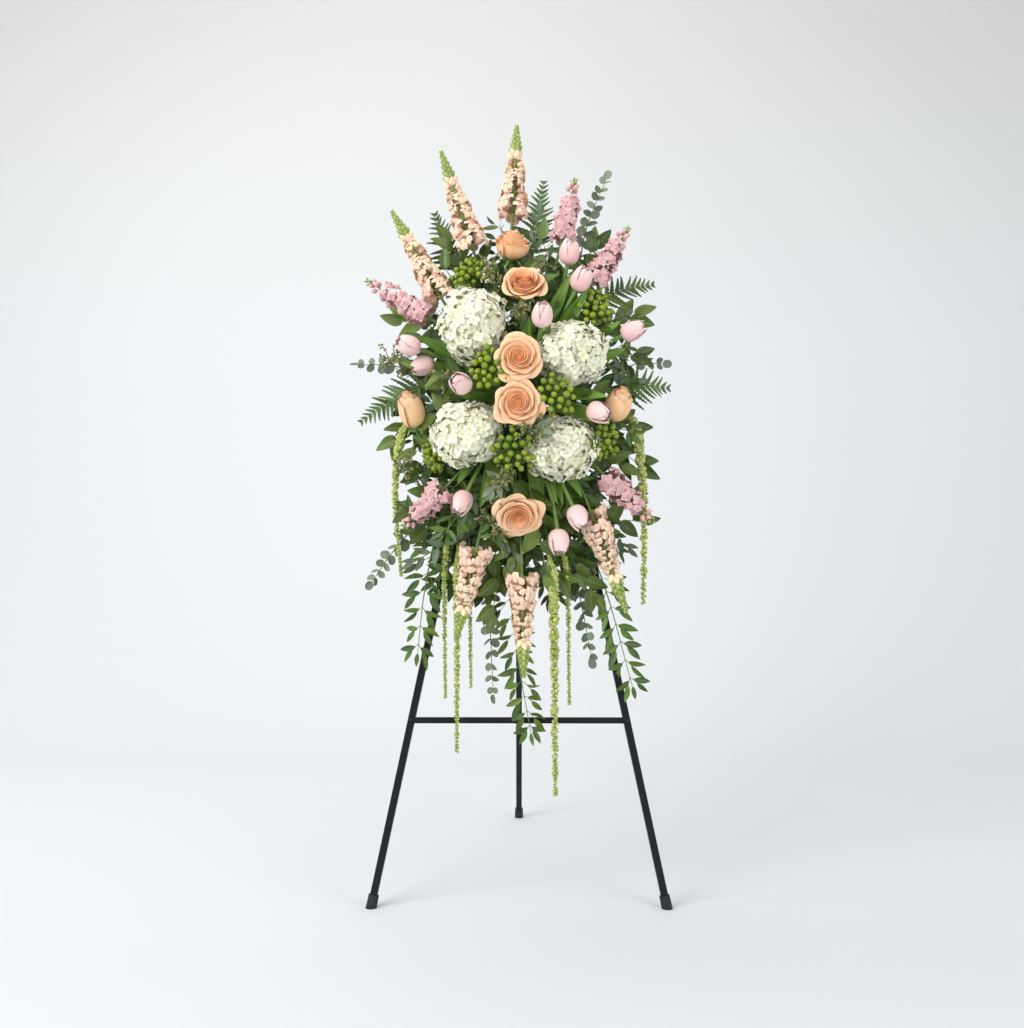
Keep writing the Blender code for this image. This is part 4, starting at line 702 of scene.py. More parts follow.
def snapPatch(seed):
    # a throat along +Z, two lobes that stand up towards +X and three that hang
    pick = random.Random(100 + seed)
    patches = [turned([(0.18, -0.1), (0.36, 0.15), (0.46, 0.5), (0.44, 0.92)], 9)]
    for angle, length, width, back in ((0.6, 0.8, 0.92, 0.7), (-0.6, 0.8, 0.92, 0.7), (2.0, 0.6, 0.78, 0.5),
                                       (-2.0, 0.6, 0.78, 0.5), (math.pi, 0.62, 0.78, 0.6)):
        phase = pick.uniform(0, 6)
        twist = pick.uniform(-0.16, 0.16)

        def form(u, v):
            half = width / 2 * (0.6 + 0.5 * np.sin(np.pi * v * 0.8)) * (1 - 0.2 * v ** 4)
            out = 0.4 + length * v * (1 - 0.12 * u * u)
            up = 0.85 + 0.34 * v - back * v ** 2.2 + 0.09 * np.sin(5.0 * u + phase) * v ** 1.5 - 0.06 * u * u
            across = half * u + twist * v
            return (out * math.cos(angle) - across * math.sin(angle),
                    out * math.sin(angle) + across * math.cos(angle), up)
        patches.append(sheet(6, 7, form))
    return joined(patches)


palatePatch = turned([(0.05, 0.64), (0.25, 0.72), (0.29, 0.86), (0.19, 0.97), (0.03, 1.0)], 8)


ruffLook = {"layers": 4, "sides": 20, "shrink": 0.21, "lift": 0.17, "rings": (0.08, 0.4, 0.75, 1.0)}


def ruffPatch(seed):
    # crumpled layers of petals, one above the other, that face +Z
    pick = random.Random(200 + seed)
    sides = ruffLook["sides"]
    angle = np.arange(sides) * math.tau / sides
    parts = []
    for layer in range(ruffLook["layers"]):
        size = 1.0 - ruffLook["shrink"] * layer
        phase = pick.uniform(0, 6)
        lobes = pick.choice((4, 5))
        rings = []
        for s in ruffLook["rings"]:
            reach = size * s * (1 + 0.22 * s * np.cos(lobes * angle + phase))
            up = ruffLook["lift"] * layer + 0.3 * s * s * np.sin((lobes + 4) * angle + phase * 2) * size
            up = up + 0.3 * (1 - s) - 0.2 * s
            rings.append(np.stack((reach * np.cos(angle), reach * np.sin(angle), up), axis=-1))
        parts.append((np.concatenate(rings), *ringFaces(len(rings), sides)))
    return joined(parts)


snapPatches = [snapPatch(k) for k in range(5)]
ruffPatches = [ruffPatch(k) for k in range(6)]
budPatch = turned([(0.05, 0.0), (0.42, 0.12), (0.62, 0.5), (0.5, 1.0), (0.22, 1.45), (0.02, 1.6)], 7)


def buildSpikes(name, kind, *spikes):
    shape = Shape()
    snap = kind == "snap"
    look = spikeLook[kind]
    whorls, around, share = look["whorls"], look["around"], look["share"]
    points = spikeLook["points"]
    for base, tip in spikes:
        base, tip = np.array(base, float), np.array(tip, float)
        length = np.linalg.norm(tip - base)
        along = (tip - base) / length
        t = np.linspace(0, 1, points)[:, None]
        spine = base + (tip - base) * t + np.array((0, -0.03, 0)) * length * np.sin(np.pi * t)
        addStem(shape, base, along, spikeLook["stemRadius"])
        shape.add(tube(spine, np.linspace(3.2, 1.0, points), 6), 0, None, 0.8)
        side = unit(np.cross(along, (0.2, 1.0, 0.3)))
        other = np.cross(along, side)
        for w in range(whorls):
            rise = share * (w + 0.35) / whorls
            taper = 1 - look["taper"] * w / whorls
            for k in range(around):
                angle = k * math.tau / around + w * look["turn"] + rng.uniform(-0.45, 0.45)
                out = side * math.cos(angle) + other * math.sin(angle)
                if -out[1] > look["front"]:
                    continue
                way = unit(out + along * look["rise"])
                root = base + (tip - base) * (rise + rng.uniform(-0.022, 0.022))
                spot = root + way * look["reach"] * taper * (0.5 if snap else rng.uniform(0.75, 1.1))
                grown = look["size"] * taper * (rng.uniform(0.74, 1.14) if snap else rng.uniform(0.85, 1.08))
                if snap:
                    turn = scaled(aim(spot, unit(way + along * 0.1), along, rng.uniform(-0.35, 0.35)), grown)
                    shape.add(rng.choice(snapPatches), 1, turn, min(1.0, 1.15 - w / whorls * 0.75))
                    lip = turn @ np.array(Matrix.Translation((-0.24, 0, 0)))
                    shape.add(palatePatch, 1, lip, rng.uniform(0.4, 0.8))
                else:
                    turn = scaled(aim(spot, way, along, rng.uniform(0, 6)), grown)
                    shape.add(rng.choice(ruffPatches), 1, turn, rng.uniform(0.35, 1.0))
                shape.add(budPatch, 2, scaled(aim(root + way * 2, way), 5 * taper), 0.4)
        for w in range(look["buds"]):
            rise = share + (1.03 - share) * (w + 0.3) / look["buds"]
            taper = 1 - 0.7 * w / look["buds"]
            for k in range(3):
                angle = k * math.tau / 3 + w * 1.1
                out = side * math.cos(angle) + other * math.sin(angle)
                way = unit(out + along * (0.9 + 0.8 * w / look["buds"]))
                root = base + (tip - base) * rise
                spot = root + way * look["budReach"] * taper
                bud = scaled(aim(spot, way), look["budSize"] * taper)
                shape.add(budPatch, 1 if w < 2 else 2, bud, rng.uniform(0.2, 0.9))
                if not snap:
                    stalk = np.array((root, root + way * 5 * taper, spot + way))
                    shape.add(tube(stalk, 0.9, 4), 0, None, 0.8)
    shape.build(name + "_blooms", (stemGreen, snapPetal if snap else stockPetal, budGreen), (name,))


for name, *spikes in snapdragons:
    buildSpikes(name, "snap", *spikes)
for name, *spikes in stocks:
    buildSpikes(name, "stock", *spikes)
print("spikes made")


# Berries on stalks from one hub

berryLook = {"count": 25, "radius": 7.0, "hubBack": 36, "stalkRadius": 1.1, "stemRadius": 2.8, "leaves": 6,
             "leafWidth": 15}
# name, then a middle, the way it faces and a radius for each bunch
bunches = (
    ("hypericum_upper_left", ((-62, -92, 1117), (-0.3, -1.0, 0.1), 32),
     ((-108, 48, 1342), (-0.3, -0.8, 0.6), 34)),
    ("hypericum_upper_right", ((76, -88, 1058), (0.3, -1.0, 0.0), 34),
     ((168, 22, 1262), (0.5, -0.9, 0.3), 32)),
    ("hypericum_low", ((-10, -78, 942), (0.0, -1.0, -0.3), 36),
     ((-185, 8, 940), (-0.8, -0.8, -0.3), 28)),
    ("hypericum_right", ((186, -18, 968), (0.8, -0.8, -0.2), 32)),
)
berryPatch = turned([(0.05, 0.0), (0.6, 0.1), (0.93, 0.45), (1.0, 0.85), (0.93, 1.3), (0.7, 1.72),
                     (0.36, 1.98), (0.14, 2.08), (0.08, 2.25), (0.02, 2.3)], 12)
berrySepal = leafPatch(7, 4, "lance", fold=0.1, curl=-0.4, rows=4, cols=3)


def buildBerries(name, *clusters):
    shape = Shape()
    for centre, facing, radius in clusters:
        facing = unit(facing)
        hub = np.array(centre, float) - facing * berryLook["hubBack"]
        side = unit(np.cross(facing, (0.1, 0.2, 1.0)))
        other = np.cross(facing, side)
        addStem(shape, hub, facing, berryLook["stemRadius"])
        count = berryLook["count"]
        for k in range(count):
            spread = math.sqrt((k + 0.4) / count)
            angle = k * goldenTurn + rng.uniform(-0.15, 0.15)
            flat = side * math.cos(angle) + other * math.sin(angle)
            sunk = facing * (14 * spread ** 2 + rng.uniform(2, 9))
            spot = np.array(centre) + flat * radius * spread * 1.12 - sunk
            way = unit(spot - hub + flat * 4)
            t = np.linspace(0, 1, 6)[:, None]
            stalk = bezier((hub, hub + facing * 12, spot - way * 10, spot), t)
            shape.add(tube(stalk, berryLook["stalkRadius"], 5), 0, None, 0.7)
            size = berryLook["radius"] * rng.uniform(0.82, 1.05)
            turn = scaled(aim(spot, way), size)
            shape.add(berryPatch, 1, turn, rng.uniform(0.1, 1.0))
            for j in range(5):
                sepal = j * math.tau / 5
                out = turn[:3, 0] * math.cos(sepal) + turn[:3, 1] * math.sin(sepal)
                leafAt(shape, berrySepal, 2, spot + out * 0.3, unit(out) + way * 0.4, way, 0.8)
        for k in range(berryLook["leaves"]):
            angle = k * math.tau / berryLook["leaves"] + rng.uniform(-0.3, 0.3)
            flat = side * math.cos(angle) + other * math.sin(angle)
            patch = leafPatch(rng.uniform(30, 42), berryLook["leafWidth"], "lance", fold=0.14, curl=0.15)
            leafAt(shape, patch, 2, hub + facing * 4, flat + facing * 0.35, facing, rng.uniform(0.2, 0.9),
                   rng.uniform(-0.4, 0.4))
    shape.build(name + "_berries", (stemGreen, berryGreen, ruscusLeaf), (name,))


for entry in bunches:
    buildBerries(*entry)
print("berries made")


# Hanging tassels of small knots

tasselLook = {"step": 4.4, "knots": 5, "kinds": 6, "stalkRadius": 2.0, "coreRadius": 1.6, "leastKnot": 2.3}
# name, then the points and the radius of each tassel
tassels = (
    ("amaranth_left", (((-215, 40, 1030), (-250, 38, 985), (-262, 40, 860), (-250, 42, 690)), 9.5)),
    ("amaranth_low_left", (((-150, 42, 785), (-158, 42, 690), (-156, 42, 432)), 7.5),
     (((-128, 48, 775), (-131, 44, 640), (-131, 22, 322)), 9.5),
     (((-108, 52, 765), (-106, 56, 680), (-102, 52, 452)), 7.0)),
    ("amaranth_low_right", (((62, 14, 740), (72, 14, 640), (76, 14, 232)), 12.0),
     (((90, 36, 745), (102, 34, 680), (106, 30, 418)), 7.5)),
    ("amaranth_right", (((205, 66, 1030), (245, 52, 1010), (263, 40, 860), (263, 38, 632)), 11.5)),
)


def knotPatch(seed):
    # a small lumpy ball
    pick = random.Random(300 + seed)
    verts, faces, uv = turned([(0.1, -1.0), (0.8, -0.55), (1.0, 0.1), (0.7, 0.7), (0.1, 1.0)], 5)
    bent = verts * np.array([[pick.uniform(0.75, 1.2)] for _ in range(len(verts))])
    return bent, faces, uv


knotPatches = [knotPatch(k) for k in range(tasselLook["kinds"])]


def buildTassels(name, *strands):
    shape = Shape()
    for points, radius in strands:
        length = sum(np.linalg.norm(np.subtract(b, a)) for a, b in zip(points, points[1:]))
        count = int(length / tasselLook["step"])
        line = smoothLine(points, count)
        addStem(shape, line[0], line[1] - line[0], tasselLook["stalkRadius"], 0.9)
        shape.add(tube(line, tasselLook["coreRadius"], 5), 0, None, 0.9)
        for k in range(count):
            t = k / (count - 1)
            # thin at the start, full, then slimmer to the tip
            body = min(1.0, 0.3 + 3.0 * max(0.0, t - 0.12)) * (1 - 0.55 * max(0.0, t - 0.25) / 0.75)
            body = body * (0.8 + 0.3 * abs(math.sin(k * 0.6)))
            along = unit(line[min(k + 1, count - 1)] - line[max(k - 1, 0)])
            side = unit(np.cross(along, (0.3, 1.0, 0.1)))
            other = np.cross(along, side)
            for j in range(tasselLook["knots"]):
                angle = j * math.tau / tasselLook["knots"] + k * 0.9 + rng.uniform(-0.3, 0.3)
                out = side * math.cos(angle) + other * math.sin(angle)
                size = radius * body * rng.uniform(0.4, 0.66)
                slide = along * rng.uniform(-2.6, 2.6)
                spot = line[k] + out * (radius * body * rng.uniform(0.45, 0.75)) + slide
                knot = scaled(aim(spot, out), max(size, tasselLook["leastKnot"]))
                shape.add(rng.choice(knotPatches), 1, knot, rng.uniform(0.0, 1.0))
    shape.build(name + "_tassels", (stemGreen, tasselGreen), (name,))


for entry in tassels:
    buildTassels(*entry)
print("tassels made")


# Foliage: a twig with leaves of one kind along it

# for each kind: leaf outline, how the leaves are set, length, width, angle to the twig in degrees, pitch
leafKinds = {
    "fern": ("frond", "pairs", 62, 14, 68, 11.5),
    "eucalyptus": ("round", "pairs", 33, 29, 64, 22),
    "ruscus": ("lance", "twigs", 45, 15.5, 48, 33),
    "lemon": ("broad", "turns", 84, 44, 50, 25),
    "seeded": ("lance", "turns", 52, 20, 44, 17),
}
twigLook = {"points": 16, "leastPoints": 5, "stemRadius": 2.1, "footRadius": 2.0, "tipRadius": 0.7,
            "sideRadius": 0.8, "bloomRoom": 10, "smallBloom": 27, "spikeShares": (0.1, 0.35, 0.6)}
leafFinish = {"fern": fernLeaf, "eucalyptus": greyLeaf, "ruscus": ruscusLeaf, "lemon": broadLeaf,
              "seeded": greyLeaf}
# name, kind, then the points of each twig
greens = (
    ("fern_top", "fern", ((25, 112, 1385), (40, 118, 1470), (55, 122, 1550))),
    ("fern_right", "fern", ((150, 66, 1262), (220, 70, 1300), (290, 72, 1312)),
     ((215, 62, 1085), (270, 62, 1095), (322, 62, 1088))),
    ("fern_left", "fern", ((-140, 112, 1350), (-165, 118, 1420), (-185, 122, 1480)),
     ((-200, 66, 1095), (-275, 66, 1060), (-340, 62, 1015))),
    ("eucalyptus_right", "eucalyptus", ((122, 92, 1290), (145, 102, 1435), (190, 112, 1550)),
     ((195, 92, 1115), (255, 92, 1145), (310, 92, 1145))),
    ("eucalyptus_left", "eucalyptus", ((-190, 84, 1115), (-270, 84, 1140), (-345, 82, 1142)),
     ((-205, 74, 815), (-270, 72, 740), (-315, 70, 675))),
    ("eucalyptus_low", "eucalyptus", ((-62, 62, 730), (-62, 62, 600), (-55, 60, 435)),
     ((112, 62, 730), (135, 62, 620), (155, 60, 510))),
    ("ruscus_left", "ruscus", ((-175, 50, 780), (-200, 44, 660), (-215, 42, 525))),
    ("ruscus_centre", "ruscus", ((-20, 52, 660), (0, 40, 500), (25, 26, 360))),
    ("ruscus_right", "ruscus", ((140, 52, 780), (190, 48, 640), (240, 42, 455))),
    ("lemon_leaf_left", "lemon", ((-95, 112, 1200), (-170, 100, 1230), (-250, 96, 1240)),
     ((-85, 110, 1290), (-115, 104, 1350), (-150, 100, 1405)),
     ((-95, 96, 1060), (-180, 84, 1035), (-262, 78, 985)),
     ((-80, 84, 900), (-130, 74, 840), (-165, 66, 765))),
    ("lemon_leaf_right", "lemon", ((95, 112, 1190), (180, 104, 1215), (250, 100, 1250)),
     ((85, 118, 1290), (120, 116, 1350), (165, 112, 1400)),
     ((95, 92, 1020), (180, 78, 985), (258, 70, 925)),
     ((80, 84, 900), (120, 74, 840), (160, 66, 765))),
    ("seeded_eucalyptus", "seeded", ((15, -30, 985), (30, -75, 990), (48, -105, 985)),
     ((-30, -20, 905), (-45, -60, 890), (-52, -85, 868))),
)
seedPatch = turned([(0.05, 0.0), (0.85, 0.3), (1.0, 1.0), (0.7, 1.6), (0.05, 1.85)], 6)


def pinnaPatch(length, width):
    # a fern's side leaflet, with a toothed edge
    def form(u, v):
        teeth = 0.5 + 0.5 * np.abs(np.sin(6.5 * np.pi * v + 0.4)) ** 0.6
        half = np.clip(1.12 - v, 0.02, 1) ** 0.7 * teeth
        lean = 0.12 * length * v * v
        return length * v, width / 2 * half * u + lean, 0.12 * width * np.abs(u) - 0.06 * length * v ** 2
    return sheet(29, 3, form)


# each bloom's middle and radius: loose leaves keep out of the way in front of them
blooms = [(spot, radius) for _, spot, _, radius, _, _ in roses]
blooms += [(spot, radius) for _, spot, _, radius in hydrangeas]
blooms += [(spot, radius) for _, *clusters in bunches for spot, _, radius in clusters]
blooms += [(spot, twigLook["smallBloom"]) for _, *heads in tulips for spot, _ in heads]
blooms += [(np.add(base, np.subtract(tip, base) * share), twigLook["smallBloom"])
           for _, *spikes in snapdragons + stocks for base, tip in spikes
           for share in twigLook["spikeShares"]]


def covers(spot):
    # whether a leaf at the spot would hide a bloom
    for middle, radius in blooms:
        apart = math.hypot(spot[0] - middle[0], spot[2] - middle[2])
        if apart < radius + twigLook["bloomRoom"] and spot[1] < middle[1] + radius * 0.5:
            return True
    return False


def addLeaf(shape, kind, slot, root, way, facing, size, tones, loose):
    outline, _, length, width, _, _ = leafKinds[kind]
    if loose and any(covers(root + unit(way) * length * size * reach) for reach in (0.1, 0.5, 1.0)):
        return
    if kind == "fern":
        patch = pinnaPatch(length * size, width * (0.5 + 0.5 * size))
        roll = rng.uniform(-0.12, 0.12)
    elif kind == "eucalyptus":
        patch = leafPatch(length * size, width * size, outline, fold=0.1, curl=rng.uniform(-0.05, 0.15))
        roll = rng.uniform(-1.3, 1.3)
    else:
        patch = leafPatch(length * size, width * size, outline, fold=rng.uniform(0.1, 0.24),
                          curl=rng.uniform(0.02, 0.24), wave=rng.uniform(0.0, 0.05), rows=11)
        roll = rng.uniform(-0.7, 0.7)
    leafAt(shape, patch, slot, root, way, facing, rng.uniform(*tones), roll)


def addSpray(shape, kind, spots, slot=1, size=1.0, tones=(0.0, 1.0), loose=False):
    # a loose twig has no stem into the foam and ends before it would hide a bloom
    _, setting, length, _, angle, pitch = leafKinds[kind]
    line = smoothLine(spots, twigLook["points"])
    if loose:
        hidden = [i for i, spot in enumerate(line) if covers(spot)]
        line = line[:hidden[0]] if hidden else line
        if len(line) < twigLook["leastPoints"]:
            return
    else:
        addStem(shape, line[0], line[1] - line[0], twigLook["stemRadius"], 0.3)
    radii = np.linspace(twigLook["footRadius"], twigLook["tipRadius"], len(line))
    shape.add(tube(line, radii, 5), 0, None, 0.4)
    span = np.linalg.norm(np.diff(line, axis=0), axis=1).sum()
    count = max(3, int(span / pitch))
    sway = 24 if kind == "eucalyptus" else 9
    depth = 0.05 if kind == "fern" else 0.34
    for k in range(count):
        t = (k + 0.5) / count
        spot = t * (len(line) - 1)
        i = min(int(spot), len(line) - 2)
        root = line[i] + (line[i + 1] - line[i]) * (spot - i)
        along = unit(line[i + 1] - line[i])
        facing = unit(np.array((rng.uniform(-0.35, 0.35), -1.0, rng.uniform(-0.3, 0.5))))
        side = unit(np.cross(along, facing))
        for hand in ((1 if k % 2 else -1,) if setting == "turns" else (1, -1)):
            bend = math.radians(angle + rng.uniform(-sway, sway)) * (1 - 0.3 * t)
            way = unit(along * math.cos(bend) + side * hand * math.sin(bend))
            way = unit(way + np.array((0, rng.uniform(-depth, depth), 0)))
            grown = size * rng.uniform(0.86, 1.08)
            if kind == "fern":
                addLeaf(shape, kind, slot, root, way, facing, grown * (1.06 - 0.92 * t), tones, loose)
            elif setting == "twigs":
                # a side twig with one leaf at its tip and one halfway
                reach = length * rng.uniform(0.4, 0.8) * (1 - 0.4 * t) * size
                tip = root + way * reach
                twig = np.array((root, root + way * reach / 2 + (0, 0, 1.5), tip))
                shape.add(tube(twig, twigLook["sideRadius"], 4), 0, None, 0.5)
                cross = unit(np.cross(way, facing))
                for spread, place in ((0.0, 1.0), (0.8 * hand, 0.45)):
                    leafWay = unit(way + cross * spread + np.array((0, rng.uniform(-0.3, 0.3), -0.15)))
                    addLeaf(shape, kind, slot, root + (tip - root) * place, leafWay, facing,
                            grown * rng.uniform(0.8, 1.0), tones, loose)
            else:
                smaller = 0.5 if kind == "eucalyptus" else 0.3
                addLeaf(shape, kind, slot, root, way, facing, grown * (1 - smaller * t), tones, loose)
    if kind != "fern":
        addLeaf(shape, kind, slot, line[-1], line[-1] - line[-2], (0, -1, 0), 0.65 * size, tones, loose)


seedLook = {"points": 12, "twigs": 12, "perTwig": 7, "twigRadius": 0.7, "stemRadius": 1.0, "spread": 26,
            "looseSpread": 30, "smallest": 1.9, "largest": 3.1}


def addSeeds(shape, spots, slot, spread):
    # a sprig with short side twigs, each with a few seed cups
    line = smoothLine(spots, seedLook["points"])
    shape.add(tube(line, seedLook["stemRadius"], 4), 0, None, 0.5)
    last = seedLook["perTwig"] - 1
    for _ in range(seedLook["twigs"]):
        root = line[rng.randrange(1, seedLook["points"])]
        way = unit(np.array((rng.uniform(-1, 1), rng.uniform(-1.0, 0.1), rng.uniform(-1, 1))))
        tip = root + way * rng.uniform(0.5, 1.0) * spread
        twig = np.array((root, (root + tip) / 2 + 2, tip))
        shape.add(tube(twig, seedLook["twigRadius"], 4), 0, None, 0.5)
        for j in range(seedLook["perTwig"]):
            spot = root + (tip - root) * (0.3 + 0.7 * j / last)
            out = unit(way + np.array([rng.uniform(-1.4, 1.4) for _ in range(3)]))
            cup = scaled(aim(spot + out * 1.5, out), rng.uniform(seedLook["smallest"], seedLook["largest"]))
            shape.add(seedPatch, slot, cup, rng.uniform(0, 1))


for name, kind, *sprays in greens:
    shape = Shape()
    for spots in sprays:
        addSpray(shape, kind, spots)
        if kind == "seeded":
            addSeeds(shape, spots, 2, seedLook["spread"])
            addSeeds(shape, [np.add(p, (14, 8, 12)) for p in spots], 2, seedLook["spread"])
    shape.build(name + "_spray", (stemGreen, leafFinish[kind], seedTan), (name,))
print("sprays made")


# Loose leaves that fill the space between the blooms, set round the foam from back to front

fillLook = {"halfWide": 212, "halfTall": 430, "middle": 1045, "low": 800, "lowShare": 0.25,
            "lowLength": 0.65, "size": 0.85, "shortest": 85, "longest": 150}
# depth, number of twigs, share of the way out where they start, how light they may be (painted shade: the
# deeper layers are kept darker), all round or low down
fillLayers = ((104, 44, 0.62, 0.25, "round"), (72, 54, 0.5, 0.4, "round"), (40, 48, 0.44, 0.6, "round"),
              (12, 36, 0.36, 0.8, "round"), (62, 36, 0.66, 0.45, "low"))
bodyKinds = ("lemon", "ruscus", "lemon", "eucalyptus", "lemon", "seeded", "ruscus")
fillSlots = {"lemon": 1, "ruscus": 2, "eucalyptus": 3, "seeded": 3}
for part, (depth, count, share, light, where) in enumerate(fillLayers):
    shape = Shape()
    middle, tall = fillLook["middle"], fillLook["halfTall"]
    if where == "low":
        middle, tall = fillLook["low"], fillLook["halfTall"] * fillLook["lowShare"]
    for k in range(count):
        turn = k * goldenTurn + part
        kind = bodyKinds[(k * 3 + part) % len(bodyKinds)]
        reach = share * math.sqrt((k + 0.5) / count) * 1.25
        out = np.array((math.cos(turn), rng.uniform(-0.3, 0.1), math.sin(turn) * 1.3))
        start = np.array((math.cos(turn) * fillLook["halfWide"] * reach, depth + rng.uniform(-12, 12),
                          middle + math.sin(turn) * tall * reach))
        length = rng.uniform(fillLook["shortest"], fillLook["longest"])
        if where == "low":
            length = length * fillLook["lowLength"]
        end = start + out * length + (0, rng.uniform(-20, 0), 0)
        spots = (start, start + out * length * 0.5 + (0, -8, 0), end)
        # tones run from dark up to the layer's limit: painted shade, darker leaves deeper in the foliage
        addSpray(shape, kind, spots, fillSlots[kind], fillLook["size"], (0.0, light), True)
    shape.build("fill_leaves_%d" % (part + 1), (stemGreen, broadLeaf, ruscusLeaf, greyLeaf, seedTan))

# Sprigs of seeds where they show between the blooms: x, depth, height
seedSpots = ((0, -55, 1222), (-52, 10, 1300), (-60, 40, 1330), (-160, -30, 1090), (48, -70, 1008),
             (14, -78, 982), (58, -50, 1100), (-262, 40, 1150), (-275, 30, 1140), (-48, -20, 830),
             (-60, -10, 800), (-40, 0, 775), (58, 40, 1345), (40, 60, 1310), (-232, 20, 925), (-240, 30, 900))
shape = Shape()
for x, y, z in seedSpots:
    spots = ((x * 0.9, y + 60, z - 20), (x + 3, y, z), (x - 4, y - 8, z + 20))
    addSeeds(shape, spots, 1, seedLook["looseSpread"])
shape.build("seed_sprigs", (stemGreen, seedTan))
print("fill made")


# Easel, holder and foam

paintLook = {"colour": (0.007, 0.008, 0.01), "scuff": (0.03, 0.03, 0.034), "roughness": 0.33,
             "specular": 0.28, "grain": 420.0, "wear": 26.0}


def satinPaint(name):
    # black paint with a fine grain and a few duller, lighter scuffs
    material, tree, shader = newMaterial(name)
    grain = ramp(tree, noise(tree, paintLook["grain"], 4.0), (0.35, 0.7))
    worn = ramp(tree, noise(tree, paintLook["wear"], 8.0), (0.6, 0.75))
    base = mixed(tree, sums(tree, "MULTIPLY", worn, 0.5), paintLook["colour"], paintLook["scuff"])
    dull = sums(tree, "ADD", sums(tree, "MULTIPLY", worn, 0.2), paintLook["roughness"])
    tree.links.new(base, shader.inputs["Base Color"])
    tree.links.new(dull, shader.inputs["Roughness"])
    shader.inputs["Specular IOR Level"].default_value = paintLook["specular"]
    bump(tree, shader, grain, 0.12, 0.0004)
    return material


easelPaint = satinPaint("easel_paint_satin")
rubber = skinMaterial("foot_rubber", (0.012, 0.014, 0.018), (0.02, 0.023, 0.028), roughness=0.75,
                      grain=500.0, glow=0.0, bumpy=0.5)
holderPlastic = skinMaterial("holder_plastic_green", (0.03, 0.12, 0.05), (0.04, 0.15, 0.06), roughness=0.42,
                             grain=300.0, glow=0.0, bumpy=0.1)
tiePlastic = skinMaterial("tie_plastic_black", (0.015, 0.015, 0.016), (0.03, 0.03, 0.03), roughness=0.3,
                          grain=200.0, glow=0.0, bumpy=0.1)
foamGreen = skinMaterial("foam_wet_green", (0.03, 0.12, 0.045), (0.07, 0.2, 0.08), roughness=0.9, grain=900.0,
                         glow=0.0, bumpy=1.0)
finishes = {"easel_paint": easelPaint, "rubber": rubber, "holder_plastic": holderPlastic,
            "tie_plastic": tiePlastic, "foam": foamGreen}
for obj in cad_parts.values():
    for slot in obj.material_slots:
        for key, finish in finishes.items():
            if slot.material and slot.material.name.startswith(key):
                slot.material = finish
                break

# Rivets where the crossbar meets the legs
rivetLook = {"radius": 5.2, "height": 2.6, "across": 229, "forward": 1.5}
shape = Shape()
barFront = np.array((0, -leanCosine, leanSine))
dome = [(1.0, -0.2), (1.0, 0.15), (0.86, 0.55), (0.5, 0.88), (0.02, 1.0)]
patch = turned([(r * rivetLook["radius"], z * rivetLook["height"]) for r, z in dome], 20)
for side in (-1, 1):
    spot = np.array(barMiddle) + barFront * rivetLook["forward"] + (side * rivetLook["across"], 0, 0)
    shape.add(patch, 0, aim(spot, barFront), 0.5)
shape.build("crossbar_rivets", (easelPaint,))
print("easel finished")


# Camera, floor and light

cameraLook = {"lens": 38.7, "place": (0.0, -2.3, 0.82), "yaw": 0.363, "farthest": 40}
camera = bpy.data.objects.new("camera", bpy.data.cameras.new("camera"))
bpy.context.scene.collection.objects.link(camera)
camera.data.lens = cameraLook["lens"]
camera.location = Vector(cameraLook["place"]) + Vector((shift.x, shift.y, 0))
camera.rotation_euler = (math.pi / 2, 0, math.radians(cameraLook["yaw"]))
camera.data.clip_end = cameraLook["farthest"]
bpy.context.scene.camera = camera

# the floor and the top of the wall have darker colours than the wall: painted shade
stageLook = {"wall": 2.6, "wide": 9.0, "front": -5.5, "high": 6.0, "bend": 1.6, "bendSteps": 24,
             "topShadeColour": (0.73, 0.735, 0.72), "wallColour": (0.79, 0.808, 0.825),
             "floorShadeColour": (0.7, 0.727, 0.762)}


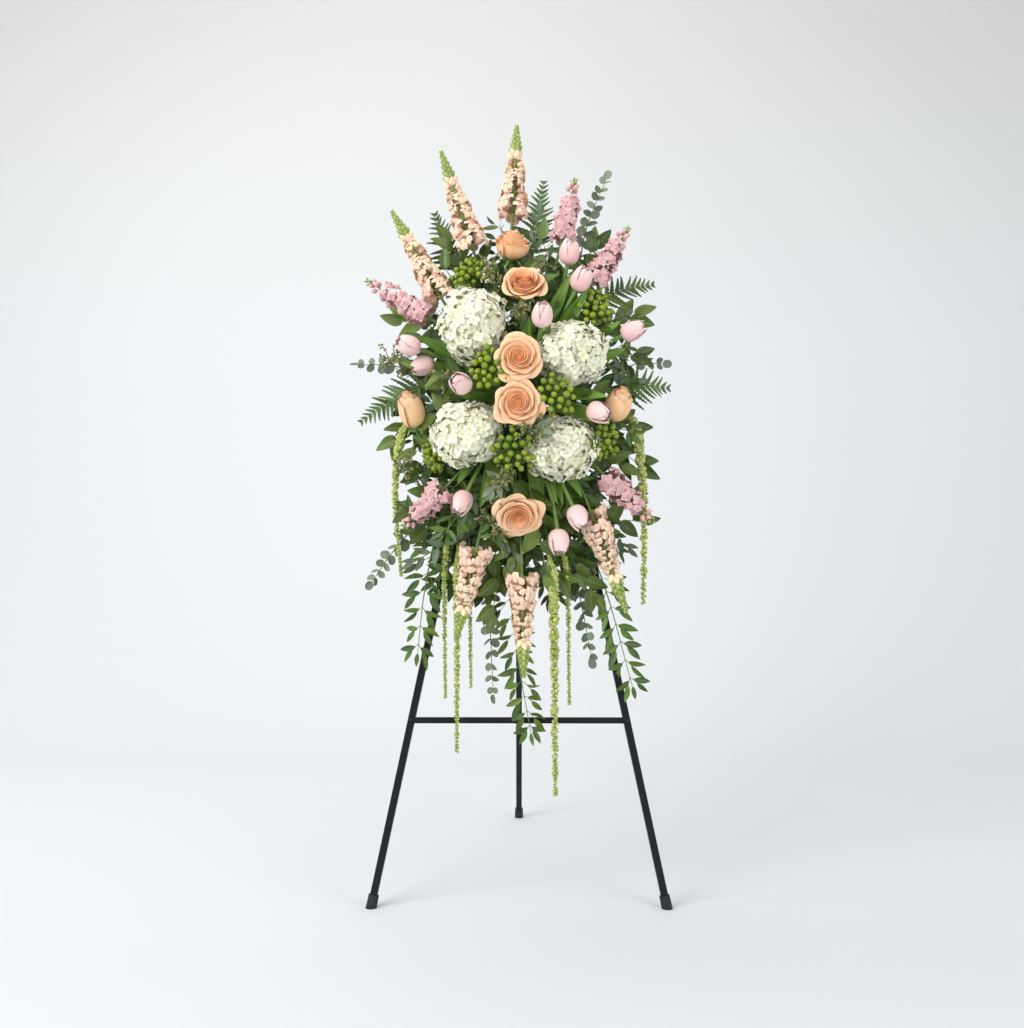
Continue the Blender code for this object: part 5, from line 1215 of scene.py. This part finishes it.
def backdrop():
    # floor that sweeps up into the wall in one bend
    line = [(stageLook["front"], 0.0)]
    for k in range(stageLook["bendSteps"] + 1):
        angle = k / stageLook["bendSteps"] * math.pi / 2
        line.append((stageLook["wall"] - stageLook["bend"] * (1 - math.sin(angle)),
                     stageLook["bend"] * (1 - math.cos(angle))))
    line.append((stageLook["wall"], stageLook["high"]))
    verts = [(side * stageLook["wide"], y, z) for y, z in line for side in (-1, 1)]
    faces = [(2 * k, 2 * k + 1, 2 * k + 3, 2 * k + 2) for k in range(len(line) - 1)]
    mesh = bpy.data.meshes.new("backdrop")
    mesh.from_pydata(verts, [], faces)
    mesh.polygons.foreach_set("use_smooth", [True] * len(faces))
    material, tree, shader = newMaterial("backdrop_paper")
    coords = tree.nodes.new("ShaderNodeTexCoord")
    split = tree.nodes.new("ShaderNodeSeparateXYZ")
    tree.links.new(coords.outputs["Object"], split.inputs[0])
    # painted shade: the floor darker than the wall, and the top of the wall darker still
    colour = mixed(tree, ramp(tree, split.outputs["Y"], (-0.6, 0.8)), stageLook["floorShadeColour"],
                   stageLook["wallColour"])
    colour = mixed(tree, ramp(tree, split.outputs["Z"], (1.6, 3.1)), colour, stageLook["topShadeColour"])
    tree.links.new(colour, shader.inputs["Base Color"])
    shader.inputs["Roughness"].default_value = 0.9
    mesh.materials.append(material)
    obj = bpy.data.objects.new("backdrop", mesh)
    bpy.context.scene.collection.objects.link(obj)


def softLight(name, spot, target, size, watts, colour):
    light = bpy.data.lights.new(name, "AREA")
    light.shape = "RECTANGLE"
    light.size, light.size_y = size
    light.energy = watts
    light.color = colour
    obj = bpy.data.objects.new(name, light)
    bpy.context.scene.collection.objects.link(obj)
    obj.location = spot
    obj.rotation_euler = (Vector(target) - Vector(spot)).to_track_quat("-Z", "Y").to_euler()


backdrop()
# where each light stands, what it faces, its size in metres, watts and colour
lightLook = {
    "key_left": ((-2.6, -2.6, 2.7), (0, 0, 1.0), (2.6, 2.6), 112, (1.0, 0.985, 0.955)),
    "fill_right": ((2.8, -3.0, 1.7), (0, 0, 0.9), (2.4, 2.4), 54, (0.99, 0.99, 1.0)),
    "top": ((-0.9, 0.0, 3.9), (-0.2, 0.2, 0.0), (3.0, 3.0), 34, (1.0, 0.995, 0.975)),
    "wall": ((0.2, -1.0, 3.9), (0.6, 2.6, 1.4), (3.6, 1.5), 5, (1.0, 0.995, 0.975)),
}
for name, look in lightLook.items():
    softLight(name, *look)
roomLook = {"colour": (0.97, 0.985, 1.0, 1), "strength": 0.54}
world = bpy.data.worlds.new("studio")
world.use_nodes = True
world.node_tree.nodes["Background"].inputs["Color"].default_value = roomLook["colour"]
world.node_tree.nodes["Background"].inputs["Strength"].default_value = roomLook["strength"]
bpy.context.scene.world = world
bpy.context.scene.view_settings.view_transform = "Standard"
print("light made")
